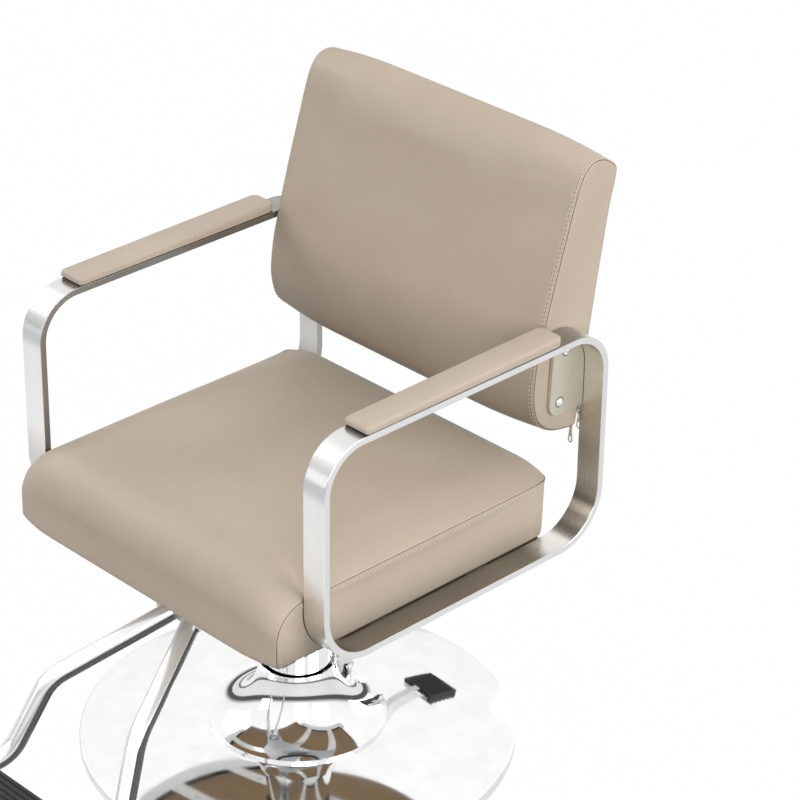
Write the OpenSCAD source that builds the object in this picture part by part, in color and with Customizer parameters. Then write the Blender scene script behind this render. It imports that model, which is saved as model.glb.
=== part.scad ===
// Hairdressing chair on a round hydraulic base.
// Millimetres, +Z up. The sitter faces -Y and the sitter's left is +X.
// The origin is on the floor, on the axis of the column.
// The upper part is drawn from the front and the underside of the arm loops,
// and chair() moves it onto the column.

/* [Placement] */
// Height of the arm loops above the floor with the lift down
loop_lift = 350; // [320:5:420]
// Distance from the front of the arm loops back to the column axis
axis_setback = 230; // [215:5:260]
// Stroke of the lift
lift_stroke = 140; // [90:10:150]

/* [Arm loops] */
// Clear width between the two loops
loop_gap = 528; // [480:4:580]
// Width of the flat bar, across the chair
bar_w = 40; // [30:2:50]
// Thickness of the flat bar
bar_t = 10; // [8:1:12]
// Depth of a loop, front to back
loop_depth = 524; // [490:4:560]
// Height of a loop
loop_height = 328; // [300:4:360]
// Outer bend radius of the two upper corners
bend_top = 67; // [50:1:80]
// Outer bend radius of the two lower corners
bend_low = 80; // [60:1:95]

/* [Seat] */
// Overhang of the seat in front of the loops, at its sides
seat_front = 46; // [30:2:70]
// Distance from the rear of the loops to the rear of the seat
seat_rear_gap = 64; // [44:2:100]
// Height of the seat's side bands
seat_band_h = 86.5; // [70:0.5:100]
// Rise of the crowned top above the side seams
seat_crown = 33; // [20:1:40]
// Extra forward swell of the front, at its middle
seat_front_crown = 11; // [4:1:16]
// Radius of the rolled front edge
seat_front_r = 48; // [30:1:60]
// Radius of the two rear corners, seen from above
seat_rear_r = 25; // [12:1:35]
// Thickness of the plywood seat board
board_t = 12; // [9:1:18]

/* [Backrest] */
// Height of the backrest's underside above the loops' underside
back_low = 163; // [150:1:190]
// Height of the backrest, measured at its sides
back_h = 390; // [340:5:440]
// Distance from the rear of the loops to the backrest's foremost line
back_set = 104.5; // [98:0.5:110]
// Depth of the backrest along its underside
back_depth = 87; // [80:1:92]
// Lean of the front face
back_front_lean = 16.7; // [10:0.1:20]
// Lean of the rear face
back_rear_lean = 9.4; // [6:0.2:12]
// Radius where the front turns under
back_turn_r = 74; // [50:1:80]
// Height above the underside at which the front starts to lean back
back_fore_h = 117; // [110:1:130]
// Forward swell of the front panel at its middle
back_crown = 11; // [4:1:16]
// Thickness of the plywood core
core_t = 15; // [12:1:18]

/* [Gusset plates] */
// Thickness of the plates that carry the backrest
plate_t = 5; // [4:1:8]
// Lower screw: distance in front of the rear bar
screw_low_in = 47; // [40:1:52]
// Lower screw: distance below the top bar
screw_low_drop = 102; // [90:1:108]
// Upper screw: distance in front of the rear bar
screw_up_in = 37; // [30:1:42]
// Upper screw: distance below the top bar
screw_up_drop = 27; // [22:1:36]
// Radius of the plate's lower lobe
lobe_r = 19.5; // [16:0.5:24]

/* [Arm pads] */
// Distance from the pads' rear ends to the rear of the loop
pad_rear_gap = 94; // [80:2:120]
// Width of the pads
pad_w = 45; // [42:1:54]
// Thickness of the padding at the front
pad_t = 11; // [10:0.5:20]
// Thickness of the padding at the rear
pad_rear_t = 14; // [10:0.5:20]
// Distance from the front of the loop to the pads
pad_front = 69; // [60:1:85]
// Thickness of the black board under each pad
pad_board_t = 2; // [2:0.5:6]

/* [Column and base] */
// Diameter of the round base
base_d = 630; // [580:10:680]
// Height of the base's rim
base_rim_h = 13; // [11:1:18]
// Height of the domed cover at its middle
base_dome_h = 34; // [28:1:44]
// Diameter of the pump's housing
housing_d = 100; // [90:2:110]
// Diameter of the piston rod
rod_d = 50; // [44:1:56]
// Diameter of the rod's upper spigot, in the swivel socket
spigot_d = 40; // [34:1:42]
// Radial running clearance of the rod, the spigot and the pins
run_gap = 0.05; // [0.02:0.01:0.09]

/* [Pedal] */
// Distance from the pedal's pivot to the end of its pad
pedal_len = 262; // [220:2:290]
// Travel of the pedal, in degrees
pedal_swing = 14; // [8:1:16]
// Width of the pedal's lever
lever_w = 12; // [8:1:14]
// Distance from the pivot to the plunger
plunger_arm = 32; // [28:1:36]

/* [Footrest] */
// Diameter of the footrest's tube
foot_tube_d = 28; // [24:1:32]
// Splay of each leg from the middle
foot_splay = 24.5; // [18:0.1:28]
// Drop angle of the upper run
foot_drop = 23.1; // [16:0.1:28]
// Drop angle of the lower run
foot_dive = 62; // [50:1:70]
// Length of the upper run
foot_upper = 185; // [150:5:210]
// Length of the lower run
foot_lower = 80; // [60:2:120]
// Length of the level run under the tread
foot_level = 96; // [80:2:120]
// Bend radius of the tube
foot_bend = 60; // [45:1:70]
// Width of the tread
tread_w = 400; // [380:10:440]
// Depth of the tread
tread_d = 92; // [80:2:110]

/* [Zip] */
// Width of the zip's tape
tape_w = 9; // [8:1:12]
// Length of a pull tab
pull_len = 39; // [30:1:44]

/* [Hidden] */
$fn = 64;

// Shared overruns and clearances
over = 1;             // overrun of a cut
soft_gap = 0.3;       // clearance round a soft piece
seat_gap = 0.3;       // clearance between a moving piece and its stop
loop_inner = loop_gap / 2;
loop_outer = loop_inner + bar_w;
loop_mid = loop_inner + bar_w / 2;
bar_top = loop_height;
bar_under = loop_height - bar_t;
rear_face = loop_depth - bar_t;

// Colours
leather = [0.73, 0.67, 0.60];
steel = [0.80, 0.80, 0.79];
chrome = [0.88, 0.89, 0.90];
black = [0.08, 0.08, 0.08];
ply = [0.72, 0.56, 0.38];
zinc = [0.70, 0.71, 0.72];

// Moves the upper part onto the column
module chair() translate([0, -axis_setback, loop_lift]) children();
// Mirrors a left-hand piece to the sitter's right
module right_hand() mirror([1, 0, 0]) children();
// Cylinder along X from the inner face of a loop
module bore_x(r, l) rotate([0, 90, 0]) cylinder(r = r, h = l);

// Outline and surface functions for the soft pieces.
// An outline is a list of corners [y, z, radius], counter-clockwise seen from +X.
// Each outline point is [y, z, normal_y, normal_z, share of the way along an edge].
function unit(v) = v / norm(v);
function out_normal(a, b) = let (d = unit(b - a)) [d[1], -d[0]];
function corner_xy(c) = [c[0], c[1]];
function corner_arc(a, v, b, steps) =
    let (n1 = out_normal(corner_xy(a), corner_xy(v)),
         n2 = out_normal(corner_xy(v), corner_xy(b)),
         centre = corner_xy(v) - v[2] * (n1 + n2) / (1 + n1 * n2),
         turn = acos(min(1, max(-1, n1 * n2))),
         start = atan2(n1[1], n1[0]))
    [for (i = [0:steps])
        let (t = start + turn * i / steps)
        [centre[0] + v[2] * cos(t), centre[1] + v[2] * sin(t), cos(t), sin(t), 0]];
function edge_points(p, q, count) =
    let (n = out_normal([p[0], p[1]], [q[0], q[1]]))
    count == 0 ? [] :
    [for (i = [1:count])
        let (s = i / (count + 1))
        [p[0] + (q[0] - p[0]) * s, p[1] + (q[1] - p[1]) * s, n[0], n[1], sin(180 * s)]];
function soft_outline(corners, edges, steps) =
    let (n = len(corners),
         arcs = [for (i = [0:n - 1])
            corner_arc(corners[(i + n - 1) % n], corners[i], corners[(i + 1) % n], steps)])
    [for (i = [0:n - 1])
        each concat(arcs[i], edge_points(arcs[i][steps], arcs[(i + 1) % n][0], edges[i]))];

// Rounding of a side edge: how far a point is drawn in at depth d.
function edge_round(r, d) = let (q = 1 - min(1, d / r)) r * (1 - sqrt(1 - q * q));
// One section of a cushion, at depth d from its side.
// swell is [front, rear, top]; hold_share is the share left at the corners, none at the rear.
// rounds is [edge radius, plan radius of the ends, fixed y, distance from there to the end].
low_share = 0.5;             // share of the edge radius away from the top
function soft_section(points, x, d, shoulder, swell, hold_share, rounds) =
    let (g = 1 - pow(1 - min(1, d / shoulder), 2),
         edge = edge_round(rounds[0], d),
         squeeze = 1 - max(0, edge_round(rounds[1], d) - edge) / rounds[3])
    [for (p = points)
        let (in = edge * (low_share + (1 - low_share) * max(0, p[3])),
             s = g * (hold_share + (1 - hold_share) * p[4]),
             dy = p[2] * abs(p[2]) * (p[2] < 0 ? s * swell[0] : g * p[4] * swell[1]),
             dz = s * p[3] * abs(p[3]) * (p[3] > 0 ? swell[2] : 0),
             y = rounds[2] + (p[0] - in * p[2] - rounds[2]) * squeeze)
        [x, y + dy, p[1] - in * p[3] + dz]];
function ring_sum(ring, k, i = 0) = i == len(ring) ? 0 : ring[i][k] + ring_sum(ring, k, i + 1);
function ring_mean(ring, k) = ring_sum(ring, k) / len(ring);
// The inner ring of a side panel, drawn in to x
panel_share = 0.55;
function panel_ring(ring, x) =
    let (cy = ring_mean(ring, 1), cz = ring_mean(ring, 2))
    [for (p = ring) [x, cy + (p[1] - cy) * panel_share, cz + (p[2] - cz) * panel_share]];
// Rings of a whole cushion from -X to +X, with a drawn-in panel on each side
function soft_rings(points, half, depths, shoulder, swell, hold_share, rounds, draw) =
    let (n = len(depths),
         left = [for (d = depths)
            soft_section(points, d - half, d, shoulder, swell, hold_share, rounds)],
         right = [for (i = [n - 2:-1:0])
            soft_section(points, half - depths[i], depths[i], shoulder, swell, hold_share, rounds)])
    concat([panel_ring(left[0], draw - half)], left, right, [panel_ring(left[0], half - draw)]);
depth_shares = [0.2, 0.35, 0.55, 0.78, 1];
function cushion_depths(half, side, rear) =
    concat([0, side / 3, side, (side + rear) / 2, rear], [for (s = depth_shares) half * s]);

// Closed surface through a list of rings.
module skin(rings) {
    n = len(rings[0]);
    m = len(rings);
    mid = [for (r = [rings[0], rings[m - 1]]) [for (k = [0:2]) ring_mean(r, k)]];
    points = concat([for (r = rings) each r], mid);
    sides = [for (i = [0:m - 2]) for (j = [0:n - 1])
        let (a = i * n + j, b = i * n + (j + 1) % n, c = (i + 1) * n + (j + 1) % n, d = (i + 1) * n + j)
        each [[a, d, c], [a, c, b]]];
    far = (m - 1) * n;
    ends = [for (j = [0:n - 1]) let (k = (j + 1) % n) each [[m * n, j, k], [m * n + 1, far + k, far + j]]];
    polyhedron(points, concat(sides, ends), convexity = 6);
}

// Base and pump
mat_t = 3;
base_plate_t = base_rim_h - mat_t;
cover_t = 2;
cover_lift = 1.5;            // gap between the cover's lip and the floor
plate_gap = 1;               // gap between the plate and the cover's skirt
base_r = base_d / 2;
skirt_r = base_r - cover_t;
plate_r = skirt_r - plate_gap;
dome_hole_r = 118;
dome_crest_r = 142;
dome_top = base_rim_h + cover_t + base_dome_h - base_rim_h;
seat_flange = 14;            // width of the cover's flange on the plate
function dome_z(r) = base_rim_h + cover_t + (dome_top - base_rim_h - cover_t)
    * (1 - pow((r - dome_crest_r) / (skirt_r - dome_crest_r), 2));
dome_steps = 12;
function dome_line(from, to, down) = [for (i = [0:dome_steps])
    let (r = from + (to - from) * i / dome_steps) [r, dome_z(r) - down]];

module base_mat() color(black) cylinder(r = plate_r - plate_gap, h = mat_t, $fn = 128);

bolt_r = 5;
bolt_head_r = 9;
bolt_head_h = 7;
flange_r = 82;
flange_h = 12;
bolt_circle = 68;
bolt_count = 4;
bolt_bite = 8;               // length of the base bolts in the plate
module bolt_spots() for (i = [0:bolt_count - 1])
    rotate([0, 0, 180 * (i + half_share) / bolt_count * 2]) translate([bolt_circle, 0, 0]) children();
half_share = 0.5;

module base_plate() color(zinc) difference() {
    translate([0, 0, mat_t]) cylinder(r = plate_r, h = base_plate_t, $fn = 128);
    bolt_spots() translate([0, 0, base_rim_h - bolt_bite]) cylinder(r = bolt_r, h = bolt_bite + over);
}

module base_cover() color(chrome) rotate_extrude($fn = 128) polygon(concat(
    [[skirt_r, cover_lift], [base_r, cover_lift], [base_r, base_rim_h]],
    dome_line(skirt_r, dome_crest_r, 0),
    [[dome_hole_r, dome_top], [dome_hole_r, dome_top - cover_t]],
    dome_line(dome_crest_r, skirt_r - seat_flange, cover_t),
    [[skirt_r - seat_flange, base_rim_h], [skirt_r, base_rim_h]]));

// Heights up the column
mount_t = 6;
plate_under = loop_lift - mount_t;    // underside of the mounting plate
socket_h = 55;
washer_t = 3;
shoulder_z = plate_under - socket_h - washer_t;
collar_h = 12;
rod_show = 8;                         // rod between collar and shoulder, lift down
housing_top = shoulder_z - rod_show - collar_h;
well_web = 8;
well_floor = base_rim_h + flange_h + well_web;
rod_foot_gap = 6;
rod_low = well_floor + rod_foot_gap;
rod_r = rod_d / 2;
spigot_r = spigot_d / 2;
housing_r = housing_d / 2;

barrel_r = 17;
barrel_top = 54;
barrel_foot_h = 20;          // height of the web between the barrel and the housing
plunger_r = 8;
plunger_well = 30;           // depth of the plunger's bore
pivot_r = 5;
ear_t = 7;
ear_gap = 1;                 // side clearance of the lever between the ears
hub_r = 13;
pivot_y = housing_r + hub_r + ear_gap;
pivot_z = 84;
plunger_y = pivot_y + plunger_arm;
nose_r = 9;
nose_rise = plunger_arm * tan(pedal_swing / 2);
plunger_top = pivot_z + nose_rise - nose_r - seat_gap;

module pump_housing() color(chrome) difference() {
    union() {
        translate([0, 0, base_rim_h]) cylinder(r = flange_r, h = flange_h);
        translate([0, 0, base_rim_h]) cylinder(r = housing_r, h = housing_top - base_rim_h);
        translate([0, plunger_y, base_rim_h]) cylinder(r = barrel_r, h = barrel_top - base_rim_h);
        translate([-barrel_r / 2, 0, base_rim_h]) cube([barrel_r, plunger_y, barrel_foot_h]);
    }
    translate([0, 0, well_floor]) cylinder(r = rod_r + run_gap, h = housing_top);
    translate([0, plunger_y, barrel_top - plunger_well])
        cylinder(r = plunger_r + run_gap, h = plunger_well + over);
    bolt_spots() translate([0, 0, base_rim_h - over]) cylinder(r = bolt_r, h = flange_h + 2 * over);
}

module pump_bolts() color(zinc) bolt_spots() translate([0, 0, base_rim_h - bolt_bite]) {
    cylinder(r = bolt_r, h = bolt_bite + flange_h + over);
    translate([0, 0, bolt_bite + flange_h]) cylinder(r = bolt_head_r, h = bolt_head_h, $fn = 6);
}

collar_t = 5;
collar_skirt = 14;
module pump_collar() color(black) translate([0, 0, housing_top]) rotate_extrude() polygon([
    [rod_r + run_gap, 0], [housing_r, 0], [housing_r, -collar_skirt],
    [housing_r + collar_t, -collar_skirt], [housing_r + collar_t, collar_h / 2],
    [housing_r - collar_t, collar_h], [rod_r + run_gap, collar_h]]);

// Bell-shaped shroud over the pump's foot, with a slot for the pedal's mechanism
neck_gap = 4;                // gap between the shroud's neck and the housing
neck_r = housing_r + neck_gap + cover_t;
shroud_top = 130;
bell_r = 92;                 // radius of the bell's flare
bell_turn = 78;
bell_steps = 12;
function bell(r, i) = let (t = bell_turn * i / bell_steps)
    [neck_r + bell_r - r * cos(t), shroud_top - r * sin(t)];
lip_r = bell(bell_r, bell_steps)[0];
slot_w = 2 * (barrel_r + neck_gap);
slot_top = 114;
module pump_shroud() color(chrome) difference() {
    rotate_extrude($fn = 96) polygon(concat(
        [for (i = [0:bell_steps]) bell(bell_r, i)], [[lip_r, dome_top], [lip_r - cover_t, dome_top]],
        [for (i = [bell_steps:-1:0]) bell(bell_r + cover_t, i)]));
    translate([-slot_w / 2, 0, 0]) cube([slot_w, shroud_top * 2, slot_top]);
}

// Pedal
ear_x = lever_w / 2 + ear_gap;
ear_low = barrel_top + 2 * ear_gap;
ear_h = pivot_z - ear_low;
bridge_t = 6;
module pedal_bracket() color(zinc) difference() {
    union() {
        for (side = [-1, 1]) translate([side * (ear_x + ear_t / 2) - ear_t / 2, 0, ear_low]) {
            cube([ear_t, pivot_y, ear_h + hub_r]);
            translate([0, pivot_y, ear_h]) bore_x(hub_r, ear_t);
        }
        translate([-ear_x - ear_t, 0, ear_low]) cube([2 * (ear_x + ear_t), pivot_y, bridge_t]);
    }
    cylinder(r = housing_r, h = housing_top);
    translate([-ear_x - ear_t - over, pivot_y, pivot_z]) bore_x(pivot_r, 2 * (ear_x + ear_t + over));
}

pin_head = 3;
module pedal_pin() color(zinc) translate([0, pivot_y, pivot_z]) {
    translate([-ear_x - ear_t, 0, 0]) bore_x(pivot_r, 2 * (ear_x + ear_t));
    for (side = [-1, 1]) translate([side * (ear_x + ear_t + pin_head / 2) - pin_head / 2, 0, 0])
        bore_x(pivot_r + pin_head, pin_head);
}

// The lever's centre line, from the pivot outwards, in [y, z]
lever_h = 18;
lever_rise = 30;
lever_knee = 96;
lever_end = pivot_y + pedal_len;
end_rise = 26;
lever_end_z = pivot_z + end_rise;
rubber_len = 70;
rubber_t = 5;
rubber_w = 64;
paddle_w = rubber_w - 2 * rubber_t;
paddle_t = 8;
module lever_side() {
    circle(r = hub_r);
    translate([plunger_arm, nose_rise]) circle(r = nose_r);
    polygon([[0, -hub_r / 2], [plunger_arm, nose_rise - nose_r / 2], [lever_knee, lever_rise - lever_h / 2],
        [pedal_len - rubber_len, end_rise - lever_h / 2], [pedal_len - rubber_len, end_rise + lever_h / 2],
        [lever_knee, lever_rise + lever_h / 2], [0, hub_r]]);
}
module pump_pedal() color(zinc) difference() {
    union() {
        translate([-lever_w / 2, pivot_y, pivot_z]) rotate([90, 0, 90])
            linear_extrude(lever_w) lever_side();
        translate([-paddle_w / 2, lever_end - rubber_len - rubber_t, lever_end_z - paddle_t / 2])
            cube([paddle_w, rubber_len, paddle_t]);
    }
    translate([-lever_w, pivot_y, pivot_z]) bore_x(pivot_r + run_gap, 2 * lever_w);
}

rib_count = 6;
rib_h = 2;
rib_share = 0.5;             // share of the pitch that a rib takes
module pedal_rubber() color(black) translate([0, lever_end - rubber_len - rubber_t, lever_end_z]) {
    difference() {
        translate([-rubber_w / 2, rubber_t, -paddle_t / 2 - rubber_t])
            cube([rubber_w, rubber_len, paddle_t + 2 * rubber_t]);
        translate([-paddle_w / 2, 0, -paddle_t / 2]) cube([paddle_w, rubber_len, paddle_t]);
    }
    for (i = [0:rib_count - 1])
        translate([-rubber_w / 2, rubber_t + rubber_len * (i + rib_share / 2) / rib_count,
            paddle_t / 2 + rubber_t]) cube([rubber_w, rubber_len / rib_count * rib_share, rib_h]);
}

plunger_head_r = 11;
plunger_head_h = 4;
plunger_foot_gap = 3;
plunger_low = barrel_top - plunger_well + plunger_arm * sin(pedal_swing) + plunger_foot_gap;
module pump_plunger() color(zinc) translate([0, plunger_y, 0]) {
    translate([0, 0, plunger_low]) cylinder(r = plunger_r, h = plunger_top - plunger_low);
    translate([0, 0, plunger_top - plunger_head_h]) cylinder(r = plunger_head_r, h = plunger_head_h);
}

// Piston rod and swivel
chamfer = 2;
spigot_top_gap = 3;
module piston_rod() color(chrome) rotate_extrude() polygon([
    [0, rod_low], [rod_r - chamfer, rod_low], [rod_r, rod_low + chamfer], [rod_r, shoulder_z],
    [spigot_r, shoulder_z], [spigot_r, plate_under - spigot_top_gap - chamfer],
    [spigot_r - chamfer, plate_under - spigot_top_gap], [0, plate_under - spigot_top_gap]]);

socket_t = 9;
socket_r = spigot_r + run_gap + socket_t;
module swivel_washer() color(black) translate([0, 0, shoulder_z]) difference() {
    cylinder(r = socket_r + chamfer, h = washer_t);
    translate([0, 0, -over]) cylinder(r = spigot_r + run_gap, h = washer_t + 2 * over);
}

// Under-frame
rail_pitch = 180;            // distance between the two rails
rail_y = axis_setback - rail_pitch / 2;
mount_bolt_x = 65;
mount_w = 2 * mount_bolt_x + bar_w;
mount_d = rail_pitch + bar_w;
mount_bolt_r = 4;
mount_bolt_head_r = 7.2;
mount_bolt_head_h = 5.3;
mount_bolt_hole_r = 4.5;
board_screw_x = 200;
wood_screw_r = 2.5;
wood_screw_hole_r = 2.75;
wood_screw_head_r = 5;
wood_screw_head_h = 2.5;
tee_r = 6;
tee_flange_r = 11;
tee_flange_t = 1.5;
rib_w = 8;
quarter = 90;

module mount_spots() for (sx = [-1, 1], sy = [0, 1])
    translate([sx * mount_bolt_x, rail_y + sy * rail_pitch, 0]) children();
module rail_spots() for (sx = [-1, 1], sy = [0, 1])
    translate([sx * board_screw_x, rail_y + sy * rail_pitch, 0]) children();

module mounting_plate() color(zinc) chair() difference() {
    union() {
        translate([-mount_w / 2, axis_setback - mount_d / 2, -mount_t]) cube([mount_w, mount_d, mount_t]);
        translate([0, axis_setback, -mount_t - socket_h]) cylinder(r = socket_r, h = socket_h + over);
        for (turn = [0:quarter:3 * quarter]) translate([0, axis_setback, -mount_t]) rotate([90, 0, turn])
            translate([0, 0, -rib_w / 2]) linear_extrude(rib_w)
                polygon([[0, 0], [mount_w / 2 - rib_w, 0], [socket_r, rib_w - socket_h],
                    [0, rib_w - socket_h]]);
    }
    translate([0, axis_setback, -mount_t - socket_h - over])
        cylinder(r = spigot_r + run_gap, h = socket_h + over);
    mount_spots() translate([0, 0, -mount_t - over]) cylinder(r = mount_bolt_hole_r, h = mount_t + 2 * over);
}

// The front pair also holds the footrest's bracket
module mount_bolts() color(zinc) chair() for (sx = [-1, 1], sy = [0, 1])
    translate([sx * mount_bolt_x, rail_y + sy * rail_pitch, (sy - 1) * bracket_t - mount_t]) {
        translate([0, 0, -mount_bolt_head_h]) cylinder(r = mount_bolt_head_r, h = mount_bolt_head_h, $fn = 6);
        cylinder(r = mount_bolt_r, h = (1 - sy) * bracket_t + mount_t + bar_t + board_t - tee_flange_t);
    }

module tee_nuts() color(zinc) chair() mount_spots() difference() {
    union() {
        translate([0, 0, bar_t]) cylinder(r = tee_r, h = board_t);
        translate([0, 0, bar_t + board_t - tee_flange_t]) cylinder(r = tee_flange_r, h = tee_flange_t);
    }
    translate([0, 0, bar_t - over]) cylinder(r = mount_bolt_r, h = board_t + 2 * over);
}

module seat_rail(y) color(steel) chair() difference() {
    translate([-loop_inner, y - bar_w / 2, 0]) cube([loop_gap, bar_w, bar_t]);
    for (sx = [-1, 1]) {
        translate([sx * mount_bolt_x, y, -over]) cylinder(r = mount_bolt_hole_r, h = bar_t + 2 * over);
        translate([sx * board_screw_x, y, -over]) cylinder(r = wood_screw_hole_r, h = bar_t + 2 * over);
    }
}
module seat_rail_front() seat_rail(rail_y);
module seat_rail_rear() seat_rail(rail_y + rail_pitch);

screw_bite = 9;              // length of the screws in the seat board
module rail_screws() color(zinc) chair() rail_spots() {
    translate([0, 0, -wood_screw_head_h]) cylinder(r = wood_screw_head_r, h = wood_screw_head_h);
    cylinder(r = wood_screw_r, h = bar_t + screw_bite);
}

seat_rear = loop_depth - seat_rear_gap;
board_inset = 16;
board_front_inset = 30;
board_y0 = board_front_inset - seat_front;
board_len = seat_rear - board_inset - board_y0;
board_half = loop_inner - board_inset;
module seat_board() color(ply) chair() difference() {
    translate([-board_half, board_y0, bar_t]) cube([2 * board_half, board_len, board_t]);
    mount_spots() {
        translate([0, 0, bar_t - over]) cylinder(r = tee_r, h = board_t + 2 * over);
        translate([0, 0, bar_t + board_t - tee_flange_t]) cylinder(r = tee_flange_r, h = board_t);
    }
    rail_spots() translate([0, 0, bar_t - over]) cylinder(r = wood_screw_r, h = screw_bite + over);
}

// Seat cushion
seat_half = loop_inner - soft_gap;
seat_base = bar_t + soft_gap;
seat_low_r = 8;
seat_top_r = 14;
seat_side_r = 4;
seat_shoulder = 95;          // distance over which the crown rises from the side seams
seat_hold_share = 0.78;
side_draw = 2.5;
seat_steps = 5;
seat_edges = [1, 1, 7, 1];
seat_corners = [
    [-seat_front, seat_base, seat_low_r],
    [seat_rear, seat_base, seat_low_r],
    [seat_rear, seat_base + seat_band_h, seat_top_r],
    [-seat_front, seat_base + seat_band_h, seat_front_r]];
module seat_cushion() color(leather) chair() difference() {
    skin(soft_rings(soft_outline(seat_corners, seat_edges, seat_steps), seat_half,
        cushion_depths(seat_half, seat_side_r, seat_rear_r), seat_shoulder,
        [seat_front_crown, 0, seat_crown], seat_hold_share,
        [seat_side_r, seat_rear_r, -seat_front, seat_front + seat_rear], side_draw));
    translate([-board_half - soft_gap, board_y0 - soft_gap, 0])
        cube([2 * (board_half + soft_gap), board_len + 2 * soft_gap, bar_t + board_t + soft_gap]);
}

// Arm loops
module loop_shape(inset) {
    w = loop_depth - 2 * inset;
    h = loop_height - 2 * inset;
    rt = bend_top - inset;
    rl = bend_low - inset;
    translate([inset, inset]) {
        translate([rl, 0]) square([w - 2 * rl, h]);
        translate([0, rl]) square([w, h - rl - rt]);
        for (x = [rl, w - rl]) translate([x, rl]) circle(r = rl);
        for (x = [rt, w - rt]) translate([x, h - rt]) circle(r = rt);
        translate([rt, h - rt]) square([w - 2 * rt, rt]);
    }
}
pad_screw_shares = [0.12, 0.5, 0.88];
module pad_screw_spots() for (s = pad_screw_shares)
    translate([loop_mid, pad_front + pad_len * s, 0]) children();
module arm_loop() chair() difference() {
    translate([loop_inner, 0, 0]) rotate([90, 0, 90]) linear_extrude(bar_w) difference() {
        loop_shape(0);
        loop_shape(bar_t);
    }
    pad_screw_spots() translate([0, 0, bar_under - over])
        cylinder(r = wood_screw_hole_r, h = bar_t + 2 * over);
}
module arm_loop_left() color(steel) arm_loop();
module arm_loop_right() color(steel) right_hand() arm_loop();

// Gusset plates and their screws
screw_low = [rear_face - screw_low_in, bar_under - screw_low_drop];
screw_up = [rear_face - screw_up_in, bar_under - screw_up_drop];
plate_top_in = 60;           // depth of the plate along the top bar
boss_r = 8;
module plate_shape() difference() {
    intersection() {
        loop_shape(bar_t);
        union() {
            translate(screw_low) circle(r = lobe_r);
            polygon([[screw_low[0], screw_low[1] - lobe_r], [loop_depth, screw_low[1] - lobe_r],
                [loop_depth, bar_top], [rear_face - plate_top_in, bar_top],
                [screw_low[0] - lobe_r, screw_low[1]], screw_low]);
        }
    }
    translate(screw_low) circle(r = mount_bolt_hole_r);
    translate(screw_up) circle(r = mount_bolt_hole_r);
}
module gusset_plate() chair() translate([loop_inner, 0, 0]) rotate([90, 0, 90])
    linear_extrude(plate_t) plate_shape();
module gusset_plate_left() color(steel) gusset_plate();
module gusset_plate_right() color(steel) right_hand() gusset_plate();

button_r = 7;
button_h = 4.4;
hex_r = 2.9;
hex_depth = 2.6;
screw_shank = 22;
module button_screw() rotate([0, 90, 0]) difference() {
    union() {
        translate([0, 0, -screw_shank]) cylinder(r = mount_bolt_r, h = screw_shank + over);
        rotate_extrude() intersection() {
            square([button_r, button_h]);
            translate([0, button_h - button_r - over]) circle(r = button_r + over);
        }
    }
    translate([0, 0, button_h - hex_depth]) cylinder(r = hex_r, h = button_h, $fn = 6);
}
module gusset_screws() chair() for (p = [screw_low, screw_up])
    translate([loop_inner + plate_t, p[0], p[1]]) button_screw();
module gusset_screws_left() color(chrome) gusset_screws();
module gusset_screws_right() color(chrome) right_hand() gusset_screws();

// Arm pads
pad_base = bar_top + pad_board_t;
pad_len = loop_depth - pad_front - pad_rear_gap;
pad_board_inset = 5;         // at the sides
pad_board_lap = 2;           // at the ends
pad_low_r = 3;
pad_end_r = 6;
pad_edge_r = 5;
pad_crown = 1;
module pad_board() chair() difference() {
    translate([loop_mid - pad_w / 2 + pad_board_inset, pad_front + pad_board_lap, bar_top])
        cube([pad_w - 2 * pad_board_inset, pad_len - 2 * pad_board_lap, pad_board_t - soft_gap]);
    pad_screw_spots() translate([0, 0, bar_top - over]) cylinder(r = wood_screw_r, h = pad_board_t + over);
}
module pad_board_left() color(black) pad_board();
module pad_board_right() color(black) right_hand() pad_board();

pad_corners = [
    [pad_front, pad_base, pad_low_r],
    [pad_front + pad_len, pad_base, pad_low_r],
    [pad_front + pad_len, pad_base + pad_rear_t, pad_end_r],
    [pad_front, pad_base + pad_t, pad_end_r]];
pad_depth_shares = [0, 0.05, 0.13, 0.3, 0.6, 1];
pad_edges = [5, 1, 7, 1];
pad_steps = 4;
pad_rings = soft_rings(soft_outline(pad_corners, pad_edges, pad_steps), pad_w / 2,
    [for (s = pad_depth_shares) s * pad_w / 2], pad_w / 2, [0, 0, pad_crown], 1,
    [pad_edge_r, pad_end_r, pad_front + pad_len / 2, pad_len / 2], 0);
module arm_pad() chair() translate([loop_mid, 0, 0]) skin(pad_rings);
module arm_pad_left() color(leather) arm_pad();
module arm_pad_right() color(leather) right_hand() arm_pad();

module pad_screws() chair() pad_screw_spots() {
    translate([0, 0, bar_under - wood_screw_head_h]) cylinder(r = wood_screw_head_r, h = wood_screw_head_h);
    translate([0, 0, bar_under - wood_screw_head_h])
        cylinder(r = wood_screw_r, h = wood_screw_head_h + bar_t + pad_board_t / 2);
}
module pad_screws_left() color(zinc) pad_screws();
module pad_screws_right() color(zinc) right_hand() pad_screws();

// Backrest
back_half = loop_inner - soft_gap;
back_top = back_low + back_h;
back_fore_z = back_low + back_fore_h;
back_side_r = 4;
back_rear_r = 7;
back_shoulder = 120;
back_hold_share = 0.75;
back_low_r = 10;
back_lean_r = 280;           // radius over which the front starts to lean
back_front_top_r = 38;
back_rear_top_r = 30;
back_front = loop_depth - back_set;
back_rear_y = back_front + back_depth;
back_steps = 6;
back_edges = [1, 5, 1, 5, 0];
back_corners = [
    [back_front, back_low, back_turn_r],
    [back_rear_y, back_low, back_low_r],
    [back_rear_y + back_h * tan(back_rear_lean), back_top, back_rear_top_r],
    [back_front + (back_top - back_fore_z) * tan(back_front_lean), back_top, back_front_top_r],
    [back_front, back_fore_z, back_lean_r]];

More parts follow.
